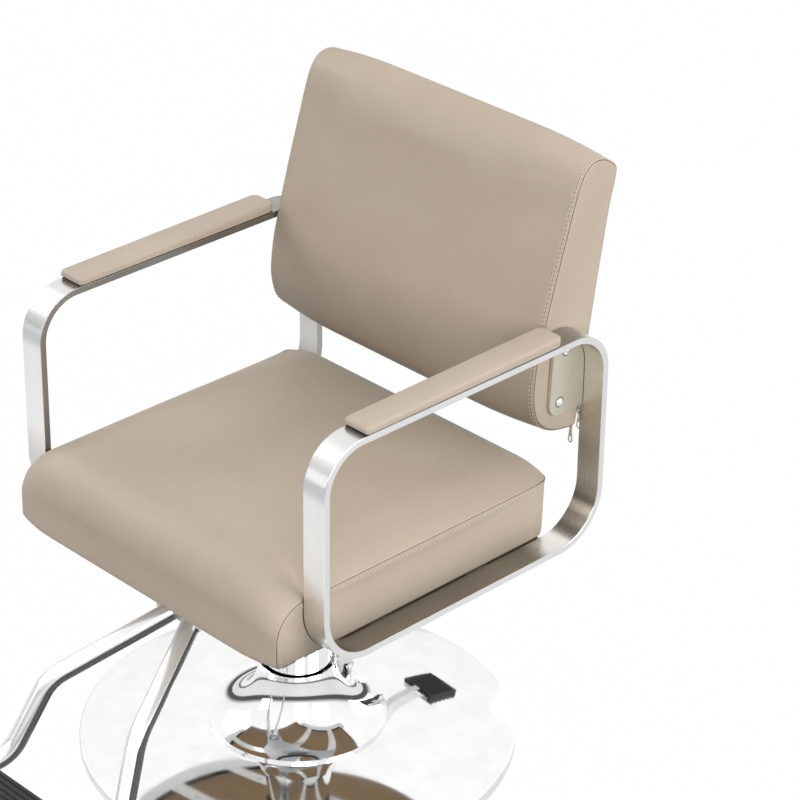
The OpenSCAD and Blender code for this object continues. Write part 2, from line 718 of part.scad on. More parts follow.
core_lean = atan2(screw_up[0] - screw_low[0], screw_up[1] - screw_low[1]);
core_inset = 38;
core_half = loop_inner - core_inset;
core_low_gap = 27;
core_top_gap = 60;
core_drop = (screw_low[1] - back_low - core_low_gap) / cos(core_lean);
core_len = core_drop + (back_top - core_top_gap - screw_low[1]) / cos(core_lean);
core_bore_r = 4.1;
module core_frame() translate([0, screw_low[0], screw_low[1]]) rotate([-core_lean, 0, 0]) children();
module boss_row(r, from, to) for (p = [screw_low, screw_up], side = [0, 1]) mirror([side, 0, 0])
    translate([from, p[0], p[1]]) bore_x(r, to - from);
module back_core() color(ply) chair() difference() {
    union() {
        core_frame() translate([-core_half, -core_t / 2, -core_drop]) cube([2 * core_half, core_t, core_len]);
        boss_row(boss_r, core_half - over, loop_inner);
    }
    boss_row(core_bore_r, loop_inner - screw_shank - over, loop_inner + over);
}

module back_cushion() color(leather) chair() difference() {
    skin(soft_rings(soft_outline(back_corners, back_edges, back_steps), back_half,
        cushion_depths(back_half, back_side_r, back_rear_r), back_shoulder,
        [back_crown, back_crown / 2, back_crown], back_hold_share,
        [back_side_r, back_rear_r, back_front, back_depth], side_draw));
    core_frame() translate([-core_half - soft_gap, -core_t / 2 - soft_gap, -core_drop - back_h])
        cube([2 * (core_half + soft_gap), core_t + 2 * soft_gap, core_len + soft_gap + back_h]);
    boss_row(boss_r + soft_gap, core_half - over, loop_inner + over);
}

// Zip along the foot of the backrest's rear face, turning up at its left end
tape_t = 1.2;
teeth_w = 6;
teeth_t = 1.6;
zip_lift = 3;                // height of the zip's centre line above the underside
zip_turn_r = 4.6;
zip_side_gap = 7;
zip_end_x = loop_inner - zip_side_gap;
zip_up = 26;                 // length of the upright end
zip_far_gap = 24;
zip_far = loop_inner - zip_far_gap;
module zip_frame() translate([0, back_rear_y, back_low]) rotate([-back_rear_lean, 0, 0])
    translate([0, soft_gap, zip_lift]) rotate([-90, 0, 0]) mirror([0, 1, 0]) children();
module zip_line(w) {
    translate([-zip_far, -w / 2]) square([zip_far + zip_end_x - zip_turn_r, w]);
    translate([zip_end_x - zip_turn_r, zip_turn_r]) intersection() {
        difference() {
            circle(r = zip_turn_r + w / 2);
            circle(r = zip_turn_r - w / 2);
        }
        translate([0, -2 * zip_turn_r]) square(2 * zip_turn_r);
    }
    translate([zip_end_x - w / 2, zip_turn_r]) square([w, zip_up]);
}
module zip_chain() color([0.42, 0.37, 0.32]) chair() zip_frame() {
    linear_extrude(tape_t) zip_line(tape_w);
    linear_extrude(tape_t + teeth_t) zip_line(teeth_w);
}

slider_w = 10;
slider_l = 11;
slider_t = 5;
bail_r = 1.2;
bail_h = 3.2;
slider_gap = 0.3;
slider_seat = tape_t + slider_gap;
bail_z = slider_seat + slider_t + bail_h;
module slider(turned) {
    rotate([0, 0, turned * quarter]) difference() {
        translate([-slider_l / 2, -slider_w / 2, slider_seat]) cube([slider_l, slider_w, slider_t]);
        translate([-slider_l, -teeth_w / 2 - slider_gap, 0])
            cube([2 * slider_l, teeth_w + 2 * slider_gap, tape_t + teeth_t + slider_gap]);
    }
    for (side = [-1, 1]) translate([side * slider_w / 3 - bail_r, -bail_r, slider_seat + slider_t - over])
        cube([2 * bail_r, 2 * bail_r, bail_h + bail_r + over]);
    translate([-slider_w / 3, 0, bail_z]) bore_x(bail_r, 2 * slider_w / 3);
}
slider_low_x = zip_end_x - zip_turn_r - slider_l / 2;
end_up = zip_turn_r + zip_up - slider_l / 2;
module zip_slider_low() color(chrome) chair() zip_frame() translate([slider_low_x, 0, 0]) slider(0);
module zip_slider_end() color(chrome) chair() zip_frame() translate([zip_end_x, end_up, 0]) slider(1);

// A pull hangs straight down from its slider's bail
pull_w = 8;
pull_t = 1.6;
pull_eye_r = 2.2;
pull_eye_w = 3.2;
pull_neck = 7;
pull_top_r = 3.2;            // rounding at the pull's top
pull_waist = 4.4;
pull_top_hole_r = 1.1;
pull_hole_r = 1.9;
pull_slot = 4;               // length of the slot near the pull's foot
module pull_plan() difference() {
    union() {
        translate([0, pull_neck + pull_top_r / 2]) circle(r = pull_top_r);
        translate([0, pull_len - pull_w / 2]) circle(r = pull_w / 2);
        polygon([[-pull_top_r, pull_neck + pull_top_r / 2], [pull_top_r, pull_neck + pull_top_r / 2],
            [pull_waist / 2, pull_len / 2], [pull_w / 2, pull_len - pull_w / 2],
            [-pull_w / 2, pull_len - pull_w / 2], [-pull_waist / 2, pull_len / 2]]);
    }
    translate([0, pull_neck + pull_top_r]) circle(r = pull_top_hole_r);
    translate([0, pull_len - pull_w / 2]) circle(r = pull_hole_r);
    translate([0, pull_len - pull_w / 2 - pull_slot]) circle(r = pull_hole_r);
    translate([-pull_hole_r, pull_len - pull_w / 2 - pull_slot]) square([2 * pull_hole_r, pull_slot]);
}
module pull_spot(up) translate([0, back_rear_y, back_low]) rotate([-back_rear_lean, 0, 0])
    translate([0, soft_gap + bail_z, zip_lift + up]) rotate([back_rear_lean, 0, 0]) children();
module pull() difference() {
    union() {
        translate([-pull_eye_w / 2, 0, 0]) bore_x(pull_eye_r, pull_eye_w);
        translate([-pull_eye_w / 2, -pull_t / 2, -pull_neck]) cube([pull_eye_w, pull_t, pull_neck]);
        translate([0, -pull_t / 2, 0]) rotate([-quarter, 0, 0]) linear_extrude(pull_t) pull_plan();
    }
    translate([-pull_w, 0, 0]) bore_x(bail_r + run_gap, 2 * pull_w);
}
module zip_pull_low() color(chrome) chair() translate([slider_low_x, 0, 0]) pull_spot(0) pull();
module zip_pull_end() color(chrome) chair() translate([zip_end_x, 0, 0]) pull_spot(end_up) pull();

// Footrest: a bracket under the front of the seat, two splayed legs and a tread
foot_r = foot_tube_d / 2;
foot_wall = 2;
foot_x0 = 15;                // start of each leg
foot_y0 = 30;
foot_z0 = -51.2;
bracket_t = 6;
bracket_end = 15;            // metal beyond the bolts
bracket_w = 92;
bracket_nose = 20;           // metal in front of the legs' start
saddle_w = 88;
saddle_rear_w = 64;
saddle_l = 38;
saddle_drop = 8;             // metal below the legs' start
saddle_back = 40;
bracket_rear = rail_y + bar_w / 3;
module bracket_plan() polygon([
    [-bracket_w / 2, foot_y0 - bracket_nose], [bracket_w / 2, foot_y0 - bracket_nose],
    [bracket_w / 2, rail_y - mount_bolt_x], [mount_bolt_x + bracket_end, rail_y - bracket_end],
    [mount_bolt_x + bracket_end, bracket_rear], [-mount_bolt_x - bracket_end, bracket_rear],
    [-mount_bolt_x - bracket_end, rail_y - bracket_end], [-bracket_w / 2, rail_y - mount_bolt_x]]);
module leg_frame() translate([foot_x0, foot_y0, foot_z0]) rotate([0, 0, foot_splay - quarter]) children();
module leg_axis() leg_frame() rotate([0, quarter + foot_drop, 0]) children();
module footrest_bracket() color(zinc) chair() difference() {
    union() {
        translate([0, 0, -mount_t - bracket_t]) linear_extrude(bracket_t) bracket_plan();
        translate([0, foot_y0 - bracket_nose, foot_z0 - saddle_drop])
            linear_extrude(saddle_drop - foot_z0 - mount_t - over) polygon([
                [-saddle_w / 2, 0], [saddle_w / 2, 0],
                [saddle_rear_w / 2, saddle_l], [-saddle_rear_w / 2, saddle_l]]);
    }
    for (side = [0, 1]) mirror([side, 0, 0]) leg_axis()
        translate([0, 0, -saddle_back]) cylinder(r = foot_r, h = 3 * saddle_back);
    for (sx = [-1, 1]) translate([sx * mount_bolt_x, rail_y, -mount_t - bracket_t - over])
        cylinder(r = mount_bolt_hole_r, h = bracket_t + 2 * over);
}

// A bend is a hair slimmer than a run and reaches a little way into both of its runs
bend_step = 0.05;
bend_lap = 0.5;
module tube_ring(step) difference() {
    circle(r = foot_r - step);
    circle(r = foot_r - foot_wall + step);
}
module run(l) {
    linear_extrude(l) tube_ring(0);
    translate([0, 0, l]) children();
}
module turn(a) {
    mirror([a < 0 ? 1 : 0, 0, 0]) translate([-foot_bend, 0, 0]) rotate([90, 0, 0])
        rotate([0, 0, -bend_lap]) rotate_extrude(angle = abs(a) + 2 * bend_lap)
            translate([foot_bend, 0]) tube_ring(bend_step);
    translate([sign(a) * foot_bend * (cos(a) - 1), 0, foot_bend * sin(abs(a))])
        rotate([0, -a, 0]) children();
}
leg_fall = foot_upper * sin(foot_drop) + foot_bend * (cos(foot_drop) - cos(foot_dive))
    + foot_lower * sin(foot_dive) + foot_bend * (1 - cos(foot_dive));
level_start = foot_upper * cos(foot_drop) + foot_bend * (sin(foot_dive) - sin(foot_drop))
    + foot_lower * cos(foot_dive) + foot_bend * sin(foot_dive);
leg_end = level_start + foot_level;
tread_sink = 1;              // depth of the flat that carries the tread
tread_t = 3;
tread_z = foot_z0 - leg_fall + foot_r - tread_sink;
tread_lip = 12;
tread_r = 14;
mat_edge = 4;
tread_mat_t = 5;
tread_y1 = foot_y0 - level_start * cos(foot_splay);
tread_y0 = tread_y1 - tread_d;
module tread_plan(inset) translate([0, tread_y0 + tread_d / 2]) {
    square([tread_w - 2 * inset, tread_d - 2 * tread_r], center = true);
    square([tread_w - 2 * tread_r, tread_d - 2 * inset], center = true);
    for (sx = [-1, 1], sy = [-1, 1])
        translate([sx * (tread_w / 2 - tread_r), sy * (tread_d / 2 - tread_r)]) circle(r = tread_r - inset);
}
tread_box_w = 2 * tread_w;
module footrest_leg() chair() difference() {
    leg_axis() run(foot_upper) turn(foot_drop - foot_dive) run(foot_lower) turn(foot_dive) run(foot_level);
    translate([-tread_w, tread_y0 - tread_d, tread_z]) cube([tread_box_w, 2 * tread_d, foot_tube_d]);
    foot_screw_spots(0) translate([0, 0, tread_z - foot_tube_d / 2])
        cylinder(r = wood_screw_hole_r, h = foot_tube_d);
}
module footrest_leg_left() color(chrome) footrest_leg();
module footrest_leg_right() color(chrome) right_hand() footrest_leg();

screw_shares = [0.25, 0.8];
module foot_screw_spots(side) mirror([side, 0, 0]) for (s = screw_shares) leg_frame()
    translate([level_start + foot_level * s, 0, -foot_z0]) children();
module footrest_plate() color(steel) chair() difference() {
    translate([0, 0, tread_z]) linear_extrude(tread_t) tread_plan(0);
    for (side = [0, 1]) foot_screw_spots(side) translate([0, 0, tread_z - over])
        cylinder(r = wood_screw_hole_r, h = tread_t + 2 * over);
}
mat_ribs = 9;
mat_rib_h = 2;
mat_hole_r = 8;
mat_pitch = (tread_d - 2 * mat_edge) / mat_ribs;
module footrest_rubber() color(black) chair() difference() {
    union() {
        translate([0, 0, tread_z + tread_t]) linear_extrude(tread_mat_t) tread_plan(mat_edge);
        for (i = [0:mat_ribs - 1])
            translate([tread_r - tread_w / 2, tread_y0 + mat_edge + mat_pitch * (i + rib_share / 2),
                tread_z + tread_t])
                cube([tread_w - 2 * tread_r, mat_pitch * rib_share, tread_mat_t + mat_rib_h]);
    }
    for (side = [0, 1]) foot_screw_spots(side) translate([0, 0, tread_z + tread_t - over])
        cylinder(r = mat_hole_r, h = tread_mat_t + mat_rib_h + 2 * over);
}
foot_screw_l = 14;
foot_screw_head = 3;
module footrest_screws() color(chrome) chair() for (side = [0, 1]) foot_screw_spots(side)
    translate([0, 0, tread_z + tread_t]) {
        cylinder(r = wood_screw_head_r, h = foot_screw_head);
        translate([0, 0, -foot_screw_l]) cylinder(r = wood_screw_r, h = foot_screw_l + over);
    }

plug_l = 9;
plug_t = 3;
module footrest_plugs() color(black) chair() for (side = [0, 1]) mirror([side, 0, 0]) difference() {
    leg_frame() translate([leg_end, 0, -leg_fall]) {
        translate([-plug_l, 0, 0]) bore_x(foot_r - foot_wall, plug_l + over);
        bore_x(foot_r - tread_sink, plug_t);
    }
    translate([0, tread_y0 - tread_d, tread_z]) cube([tread_w, 2 * tread_d, foot_tube_d]);
}

base_mat();
base_plate();
base_cover();
pump_housing();
pump_shroud();
pump_collar();
pump_bolts();
pedal_bracket();
pedal_pin();
pump_pedal();
pedal_rubber();
pump_plunger();
piston_rod();
swivel_washer();
mounting_plate();
mount_bolts();
tee_nuts();
seat_rail_front();
seat_rail_rear();
rail_screws();
seat_board();
seat_cushion();
arm_loop_left();
arm_loop_right();
gusset_plate_left();
gusset_plate_right();
gusset_screws_left();
gusset_screws_right();
pad_board_left();
pad_board_right();
arm_pad_left();
arm_pad_right();
pad_screws_left();
pad_screws_right();
back_cushion();
back_core();
zip_chain();
zip_slider_low();
zip_slider_end();
zip_pull_low();
zip_pull_end();
footrest_bracket();
footrest_leg_left();
footrest_leg_right();
footrest_plate();
footrest_rubber();
footrest_screws();
footrest_plugs();
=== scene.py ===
import math
import bpy
import bmesh
import numpy as np
from mathutils import Matrix, Vector


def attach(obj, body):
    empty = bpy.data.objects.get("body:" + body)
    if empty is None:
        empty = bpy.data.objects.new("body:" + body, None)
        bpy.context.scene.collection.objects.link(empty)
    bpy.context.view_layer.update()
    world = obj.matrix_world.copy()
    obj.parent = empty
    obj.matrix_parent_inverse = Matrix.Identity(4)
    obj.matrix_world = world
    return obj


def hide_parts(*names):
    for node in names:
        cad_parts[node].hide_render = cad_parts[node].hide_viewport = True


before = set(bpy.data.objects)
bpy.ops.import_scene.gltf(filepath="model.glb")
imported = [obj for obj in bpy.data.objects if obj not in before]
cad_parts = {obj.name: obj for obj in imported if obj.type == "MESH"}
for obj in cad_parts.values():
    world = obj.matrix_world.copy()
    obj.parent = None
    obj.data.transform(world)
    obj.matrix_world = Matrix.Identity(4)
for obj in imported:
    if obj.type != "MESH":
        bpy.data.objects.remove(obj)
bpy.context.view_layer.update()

MM = 0.001
LIFT, SETBACK = 350.0, 230.0      # the arm loops above the floor, the column behind their front
INNER = 264.0                     # inner faces of the arm loops


def to_frame(points):
    """Measured points (x, y, z) of the upper part, in mm, to the row frame, in metres."""
    return (np.array(points, float) + (0, -SETBACK, LIFT)) * MM


# Camera, solved from straight bars, corners and screws in the photograph
AZIMUTH, ELEVATION, ROLL = 45.4704, 28.7233, 0.78966      # degrees
CAMERA_AT = (2.69196, -2.44965, 2.54483)
FOCAL_LENGTH, PHOTO_WIDTH = 3041.186, 800                 # pixels
SENSOR = 36                                               # mm

az, el, roll = (math.radians(a) for a in (AZIMUTH, ELEVATION, ROLL))
back = Vector((math.sin(az) * math.cos(el), -math.cos(az) * math.cos(el), math.sin(el)))
right = Vector((math.cos(az), math.sin(az), 0))
up = back.cross(right)
rolled_right = right * math.cos(roll) + up * math.sin(roll)
rolled_up = up * math.cos(roll) - right * math.sin(roll)
cam_data = bpy.data.cameras.new("camera")
cam_data.sensor_width = SENSOR
cam_data.sensor_fit = "HORIZONTAL"
cam_data.lens = FOCAL_LENGTH * SENSOR / PHOTO_WIDTH
cam_data.clip_end = 50
cam = bpy.data.objects.new("camera", cam_data)
pose = Matrix((rolled_right, rolled_up, back)).transposed().to_4x4()
pose.translation = CAMERA_AT
cam.matrix_world = pose
bpy.context.scene.collection.objects.link(cam)
bpy.context.scene.camera = cam


# Materials
class Mat:
    """A material, or the world, with short ways to add nodes to its tree."""

    def __init__(self, name, world=None):
        self.material = world or bpy.data.materials.new(name)
        self.material.use_nodes = True
        self.tree = self.material.node_tree
        self.shader = self.tree.nodes["Background" if world else "Principled BSDF"]
        self.coord = self.tree.nodes.new("ShaderNodeTexCoord")

    def node(self, kind, **values):
        n = self.tree.nodes.new("ShaderNode" + kind)
        for k, v in values.items():
            if k in n.inputs:
                n.inputs[k].default_value = v
            else:
                setattr(n, k, v)
        return n

    def link(self, a, b):
        self.tree.links.new(a, b)

    def mapped(self, scale, source="Object"):
        n = self.node("Mapping")
        n.inputs["Scale"].default_value = scale
        self.link(self.coord.outputs[source], n.inputs["Vector"])
        return n.outputs["Vector"]

    def facing_x(self, low, high):
        """0 up to low, 1 from high on, for how much the object's surface faces along X."""
        s = self.node("SeparateXYZ")
        self.link(self.coord.outputs["Normal"], s.inputs[0])
        a = self.node("Math", operation="ABSOLUTE")
        self.link(s.outputs["X"], a.inputs[0])
        return self.remap(a.outputs[0], 0, 1, low, high)

    def noise(self, vector, scale, detail=4.0, rough=0.55):
        n = self.node("TexNoise", Scale=scale, Detail=detail, Roughness=rough)
        self.link(vector, n.inputs["Vector"])
        return n.outputs["Fac"]

    def remap(self, value, low, high, a=0.3, b=0.7):
        """low where value is a, high where it is b, even between them."""
        n = self.node("MapRange")
        n.inputs["From Min"].default_value = a
        n.inputs["From Max"].default_value = b
        n.inputs["To Min"].default_value = low
        n.inputs["To Max"].default_value = high
        self.link(value, n.inputs["Value"])
        return n.outputs["Result"]

    def mix(self, fac, a, b, blend="MIX"):
        n = self.node("Mix", data_type="RGBA", blend_type=blend)
        for socket, v in ((n.inputs[0], fac), (n.inputs[6], a), (n.inputs[7], b)):
            if isinstance(v, bpy.types.NodeSocket):
                self.link(v, socket)
            elif isinstance(v, tuple):
                socket.default_value = (*v, 1.0)
            else:
                socket.default_value = v
        return n.outputs[2]

    def ramp(self, value, stops, mode="LINEAR"):
        """Colours or greys from (position, colour) stops."""
        n = self.node("ValToRGB")
        e = n.color_ramp.elements
        while len(e) < len(stops):
            e.new(0.5)
        n.color_ramp.interpolation = mode
        for i, (at, c) in enumerate(stops):
            e[i].position = at
            e[i].color = (*c, 1.0) if isinstance(c, tuple) else (c, c, c, 1.0)
        self.link(value, n.inputs[0])
        return n.outputs["Color"]

    def bump(self, height, strength, distance, normal=None):
        n = self.node("Bump", Strength=strength, Distance=distance)
        self.link(height, n.inputs["Height"])
        if normal is not None:
            self.link(normal, n.inputs["Normal"])
        return n.outputs["Normal"]

    def set(self, **values):
        for k, v in values.items():
            s = self.shader.inputs[k.replace("_", " ")]
            if isinstance(v, bpy.types.NodeSocket):
                self.link(v, s)
            elif isinstance(v, tuple):
                s.default_value = (*v, 1.0)
            else:
                s.default_value = v
        return self.material


PAINTED_TONE_LOW, PAINTED_TONE_HIGH = 0.35, 0.75          # heights between which the leather's painted light and shade run, in metres


def leather(name, front_light_and_shade, sides, ahead=None):
    """Taupe leather with painted light and shade. front_light_and_shade and sides are painted light and shade
    by height,
    in metres: sides for the surfaces that face along X, front_light_and_shade for the others. ahead is the
    two depths between which the front's painted light and shade fades out."""
    k = Mat(name)
    p = k.mapped((1, 1, 1))
    broad = k.remap(k.noise(p, 7, 3), 0, 1)
    fine = k.remap(k.noise(p, 160, 5), 0, 1)
    col = k.mix(broad, (0.416, 0.345, 0.277), (0.445, 0.374, 0.303))
    col = k.mix(k.remap(fine, 0.0, 0.16, 0, 1), col, (0.355, 0.287, 0.228))
    s = k.node("SeparateXYZ")
    k.link(p, s.inputs[0])
    height = k.remap(s.outputs["Z"], 0, 1, PAINTED_TONE_LOW, PAINTED_TONE_HIGH)
    front, side = (k.ramp(height, [((z - PAINTED_TONE_LOW) / (PAINTED_TONE_HIGH - PAINTED_TONE_LOW), painted_tone) for z, painted_tone in painted_tones])
                   for painted_tones in (front_light_and_shade, sides))
    if ahead:
        front = k.mix(k.remap(s.outputs["Y"], 1, 0, *ahead), (1.0, 1.0, 1.0), front)
    # the leather's colour times its painted light and shade: side tones where the surface faces along X,
    # front tones elsewhere
    col = k.mix(1.0, col, k.mix(k.facing_x(0.45, 0.85), front, side), "MULTIPLY")
    grain = k.node("TexVoronoi", feature="DISTANCE_TO_EDGE", Scale=900)
    warp = k.noise(p, 300, 3)
    warped = k.node("Mix", data_type="VECTOR")
    warped.inputs[0].default_value = 0.0012
    k.link(p, warped.inputs[4])
    k.link(warp, warped.inputs[5])
    k.link(warped.outputs[1], grain.inputs["Vector"])
    cell = k.remap(grain.outputs["Distance"], 0, 1, 0.0, 0.25)
    pebbles = k.bump(cell, 0.16, 0.0003)
    creases = k.bump(fine, 0.10, 0.0006, pebbles)
    waves = k.bump(broad, 0.06, 0.004, creases)
    rough = k.remap(fine, 0.42, 0.54, 0, 1)
    return k.set(Base_Color=col, Roughness=rough, Normal=waves, Specular_IOR_Level=0.32)


def metal(name, color, streak, rough, low, high):
    """Brushed metal: streak is the noise scale along X, Y and Z, low and high are the tones of its lines."""
    k = Mat(name)
    p = k.mapped(streak)
    lines = k.noise(p, 1, 4, 0.7)
    cloud = k.noise(k.mapped((1, 1, 1)), 18, 3)
    col = k.mix(k.remap(lines, 0, 1), tuple(c * low for c in color), tuple(c * high for c in color))
    col = k.mix(k.remap(cloud, 0, 0.25), col, tuple(c * 0.86 for c in color))
    r = k.remap(lines, rough * 0.85, rough * 1.2)
    return k.set(Base_Color=col, Metallic=1.0, Roughness=r, Normal=k.bump(lines, 0.05, 0.0002))


BAR_ROUND = 1.578                 # once round an arm loop's outer outline, in metres
BAR_GIRTH = 0.1                   # about once round the bar's section, in metres
# Where the bar's faces begin, as shares of the way round its section, and their painted light and shade:
# bright outer face and edge, a warm painted reflection of the leather on the inner face, a dark painted inner
# edge
OUTER_EDGE, INNER_FACE, INNER_EDGE, OUTER_FACE = 0.018, 0.106, 0.508, 0.604
FACE_PAINTED_SHADING = [(0.0, (0.95, 0.95, 0.95)), (OUTER_EDGE, (0.885, 0.885, 0.89)),
              (INNER_FACE, (0.74, 0.725, 0.68)), (INNER_EDGE, (0.42, 0.42, 0.415)),
              (OUTER_FACE, (0.95, 0.95, 0.95))]
# Painted reflections, highlights and shade on the bar's inner and outer face by place along it, in metres: up
# the rear, over the top, down the front and back along the bottom
INNER_PAINTED_REFLECTIONS = [
    (0.0, 1.06), (0.032, 1.30), (0.040, 0.74), (0.057, 0.90), (0.068, 0.68), (0.076, 1.40),
    (0.084, 1.35), (0.0905, 0.42), (0.098, 0.42), (0.108, 0.74), (0.130, 0.94), (0.145, 0.96),
    (0.190, 0.80), (0.225, (0.93, 0.91, 0.86)), (0.310, (0.97, 0.95, 0.90)), (0.42, 0.9),
    (1.21, (0.45, 0.43, 0.405)), (1.40, (0.42, 0.40, 0.375)), (1.48, (0.49, 0.475, 0.45)),
    (1.532, (0.42, 0.41, 0.385)), (1.546, 0.64), (1.558, 1.02), (1.578, 1.08)]
OUTER_PAINTED_REFLECTIONS = [
    (0.30, 0.9), (0.35, 0.66), (0.385, (0.50, 0.50, 0.49)), (0.425, (0.36, 0.35, 0.33)), (0.79, 0.74),
    (0.81, 0.79), (0.838, 0.79), (0.850, 0.64), (0.860, 0.66), (0.870, 0.66), (0.878, 0.62),
    (0.888, (0.66, 0.67, 0.69)), (0.903, (0.74, 0.75, 0.77)), (0.915, 1.04), (1.035, 1.10),
    (1.062, (0.95, 0.93, 0.90)), (1.088, (0.84, 0.82, 0.78)), (1.17, 0.80), (1.25, 0.9)]


def brushed_bar_painted_reflections():
    """Flat bar brushed along its length; the map runs along the bar, then round it, in metres.
    Its outer face and edge are painted bright, its inner ones painted darker, with bands of painted
    reflection, highlight and shade along it."""
    k = Mat("brushed_bar_painted_reflections")
    lines = k.noise(k.mapped((14, 1500, 1), "UV"), 1, 5, 0.65)
    broad = k.noise(k.mapped((5, 60, 1), "UV"), 1, 2)
    place = k.node("SeparateXYZ")
    k.link(k.mapped((1 / BAR_ROUND, 1 / BAR_GIRTH, 1), "UV"), place.inputs[0])
    along, across = place.outputs["X"], place.outputs["Y"]
    painted_tone = k.ramp(across, FACE_PAINTED_SHADING, "CONSTANT")
    inside = k.ramp(across, [(0.0, 0.0), (INNER_FACE, 1.0), (INNER_EDGE, 0.0)], "CONSTANT")
    outside = k.ramp(across, [(0.0, 1.0), (OUTER_EDGE, 0.0), (OUTER_FACE, 1.0)], "CONSTANT")
    col = painted_tone
    # the painted reflections and shade along the bar, on its inner face and on its outer face
    for part, painted_tones in ((inside, INNER_PAINTED_REFLECTIONS), (outside, OUTER_PAINTED_REFLECTIONS)):
        shade = k.ramp(along, [(at / BAR_ROUND, value) for at, value in painted_tones])
        col = k.mix(part, col, k.mix(1.0, painted_tone, shade, "MULTIPLY"))
    col = k.mix(k.remap(lines, 0, 0.20), col, k.mix(1.0, col, (0.74, 0.74, 0.73), "MULTIPLY"))
    col = k.mix(k.remap(broad, 0, 0.06), col, (0.45, 0.44, 0.40))
    tangent = k.node("Tangent", direction_type="UV_MAP", uv_map="map")
    k.shader.inputs["Anisotropic"].default_value = 0.55
    k.shader.inputs["Anisotropic Rotation"].default_value = 0.25
    k.link(tangent.outputs[0], k.shader.inputs["Tangent"])
    r = k.remap(lines, 0.24, 0.34)
    return k.set(Base_Color=col, Metallic=1.0, Roughness=r, Normal=k.bump(lines, 0.03, 0.0002))


def plated(name, color, rough):
    k = Mat(name)
    p = k.mapped((1, 1, 1))
    cloud = k.noise(p, 25, 3)
    wave = k.noise(p, 6, 2)
    r = k.remap(cloud, rough * 0.7, rough * 1.4)
    col = k.mix(k.remap(cloud, 0, 1), color, tuple(c * 0.93 for c in color))
    return k.set(Base_Color=col, Metallic=1.0, Roughness=r, Normal=k.bump(wave, 0.04, 0.002))


def bent_tube():
    """Bright tube with a painted dark reflection streak along the sides that face along X."""
    k = Mat("tube_chrome_painted_streak")
    p = k.mapped((1, 1, 1))
    cloud = k.noise(p, 25, 3)
    col = k.mix(k.remap(cloud, 0, 1), (0.93, 0.935, 0.94), (0.88, 0.885, 0.89))
    # painted reflection: a dark streak where the tube's surface faces along X
    col = k.mix(k.facing_x(0.84, 0.875), col, (0.10, 0.10, 0.095))
    return k.set(Base_Color=col, Metallic=0.50, Roughness=k.remap(cloud, 0.16, 0.24),
                 Normal=k.bump(k.noise(p, 6, 2), 0.04, 0.002))


def dull(name, color, other, rough, scale, strength=0.2, spec=0.4):
    k = Mat(name)
    p = k.mapped((1, 1, 1))
    a = k.noise(p, scale, 5)
    b = k.noise(p, scale * 0.08, 3)
    col = k.mix(k.remap(b, 0, 1), color, other)
    r = k.remap(a, rough * 0.85, min(1.0, rough * 1.15))
    return k.set(Base_Color=col, Roughness=r, Normal=k.bump(a, strength, 0.0003), Specular_IOR_Level=spec)


def plywood():
    k = Mat("plywood")
    p = k.mapped((9, 140, 140))
    a = k.noise(p, 1, 5, 0.6)
    plies = k.node("TexWave", wave_type="BANDS", bands_direction="Z", Scale=120, Distortion=0.4)
    k.link(k.mapped((1, 1, 1)), plies.inputs["Vector"])
    col = k.mix(k.remap(a, 0, 1), (0.50, 0.33, 0.18), (0.62, 0.45, 0.27))
    col = k.mix(k.remap(plies.outputs["Fac"], 0, 0.35, 0, 1), col, (0.33, 0.2, 0.11))
    return k.set(Base_Color=col, Roughness=k.remap(a, 0.6, 0.75), Normal=k.bump(a, 0.2, 0.0004))


def woven(name, color, other, spec=0.4):
    k = Mat(name)
    p = k.mapped((1, 1, 1))
    w = k.node("TexWave", wave_type="BANDS", bands_direction="DIAGONAL", Scale=900, Distortion=0.5)
    k.link(p, w.inputs["Vector"])
    col = k.mix(w.outputs["Fac"], color, other)
    return k.set(Base_Color=col, Roughness=0.85, Normal=k.bump(w.outputs["Fac"], 0.3, 0.0003),
                 Specular_IOR_Level=spec)


# painted light and shade by height: the seat's front painted lighter low down, its sides painted darker at
# the bottom, the backrest painted darker towards its foot and lighter upwards
SEAT_LEATHER = leather("taupe_leather_seat_painted_shading", [(0.40, 1.36), (0.437, 1.16), (0.468, 1.03), (0.49, 1.0)],
                       [(0.360, 0.60), (0.374, 0.79), (0.390, 1.0), (0.41, 1.11)], (-0.30, -0.22))
# the pads' leather painted lighter and cooler all over
PAD_PAINTED_LIGHT = [(0.36, (1.07, 1.08, 1.11)), (0.74, (1.07, 1.08, 1.11))]
PAD_LEATHER = leather("taupe_leather_pad_painted_light", PAD_PAINTED_LIGHT, PAD_PAINTED_LIGHT)
BACK_LEATHER = leather("taupe_leather_back_painted_shading",
                       [(0.515, (0.62, 0.60, 0.58)), (0.555, 0.77), (0.60, 0.90),
                        (0.65, (1.02, 1.0, 0.99)), (0.75, (1.09, 1.08, 1.07))],
                       [(0.52, 0.98), (0.60, 1.08), (0.75, 1.10)])
STAINLESS = metal("brushed_stainless", (0.80, 0.785, 0.755), (2600, 22, 22), 0.27, 0.90, 1.06)
BAR = brushed_bar_painted_reflections()
PLATE = metal("brushed_plate", (0.70, 0.66, 0.565), (30, 900, 14), 0.36, 0.94, 1.06)
CHROME = plated("chrome", (0.90, 0.905, 0.91), 0.06)
TUBE = bent_tube()
SATIN = plated("satin_chrome", (0.78, 0.78, 0.775), 0.2)
NICKEL = plated("bright_nickel", (0.93, 0.90, 0.87), 0.26)
ZINC = metal("zinc_steel", (0.60, 0.61, 0.62), (300, 300, 300), 0.36, 0.88, 1.08)
RUBBER = dull("black_rubber", (0.018, 0.018, 0.018), (0.03, 0.03, 0.03), 0.72, 1500, 0.35)
PLASTIC = dull("black_plastic", (0.012, 0.012, 0.012), (0.02, 0.02, 0.02), 0.45, 2400, 0.2)
PLY = plywood()
TAPE = woven("zip_tape", (0.10, 0.075, 0.055), (0.17, 0.13, 0.10))
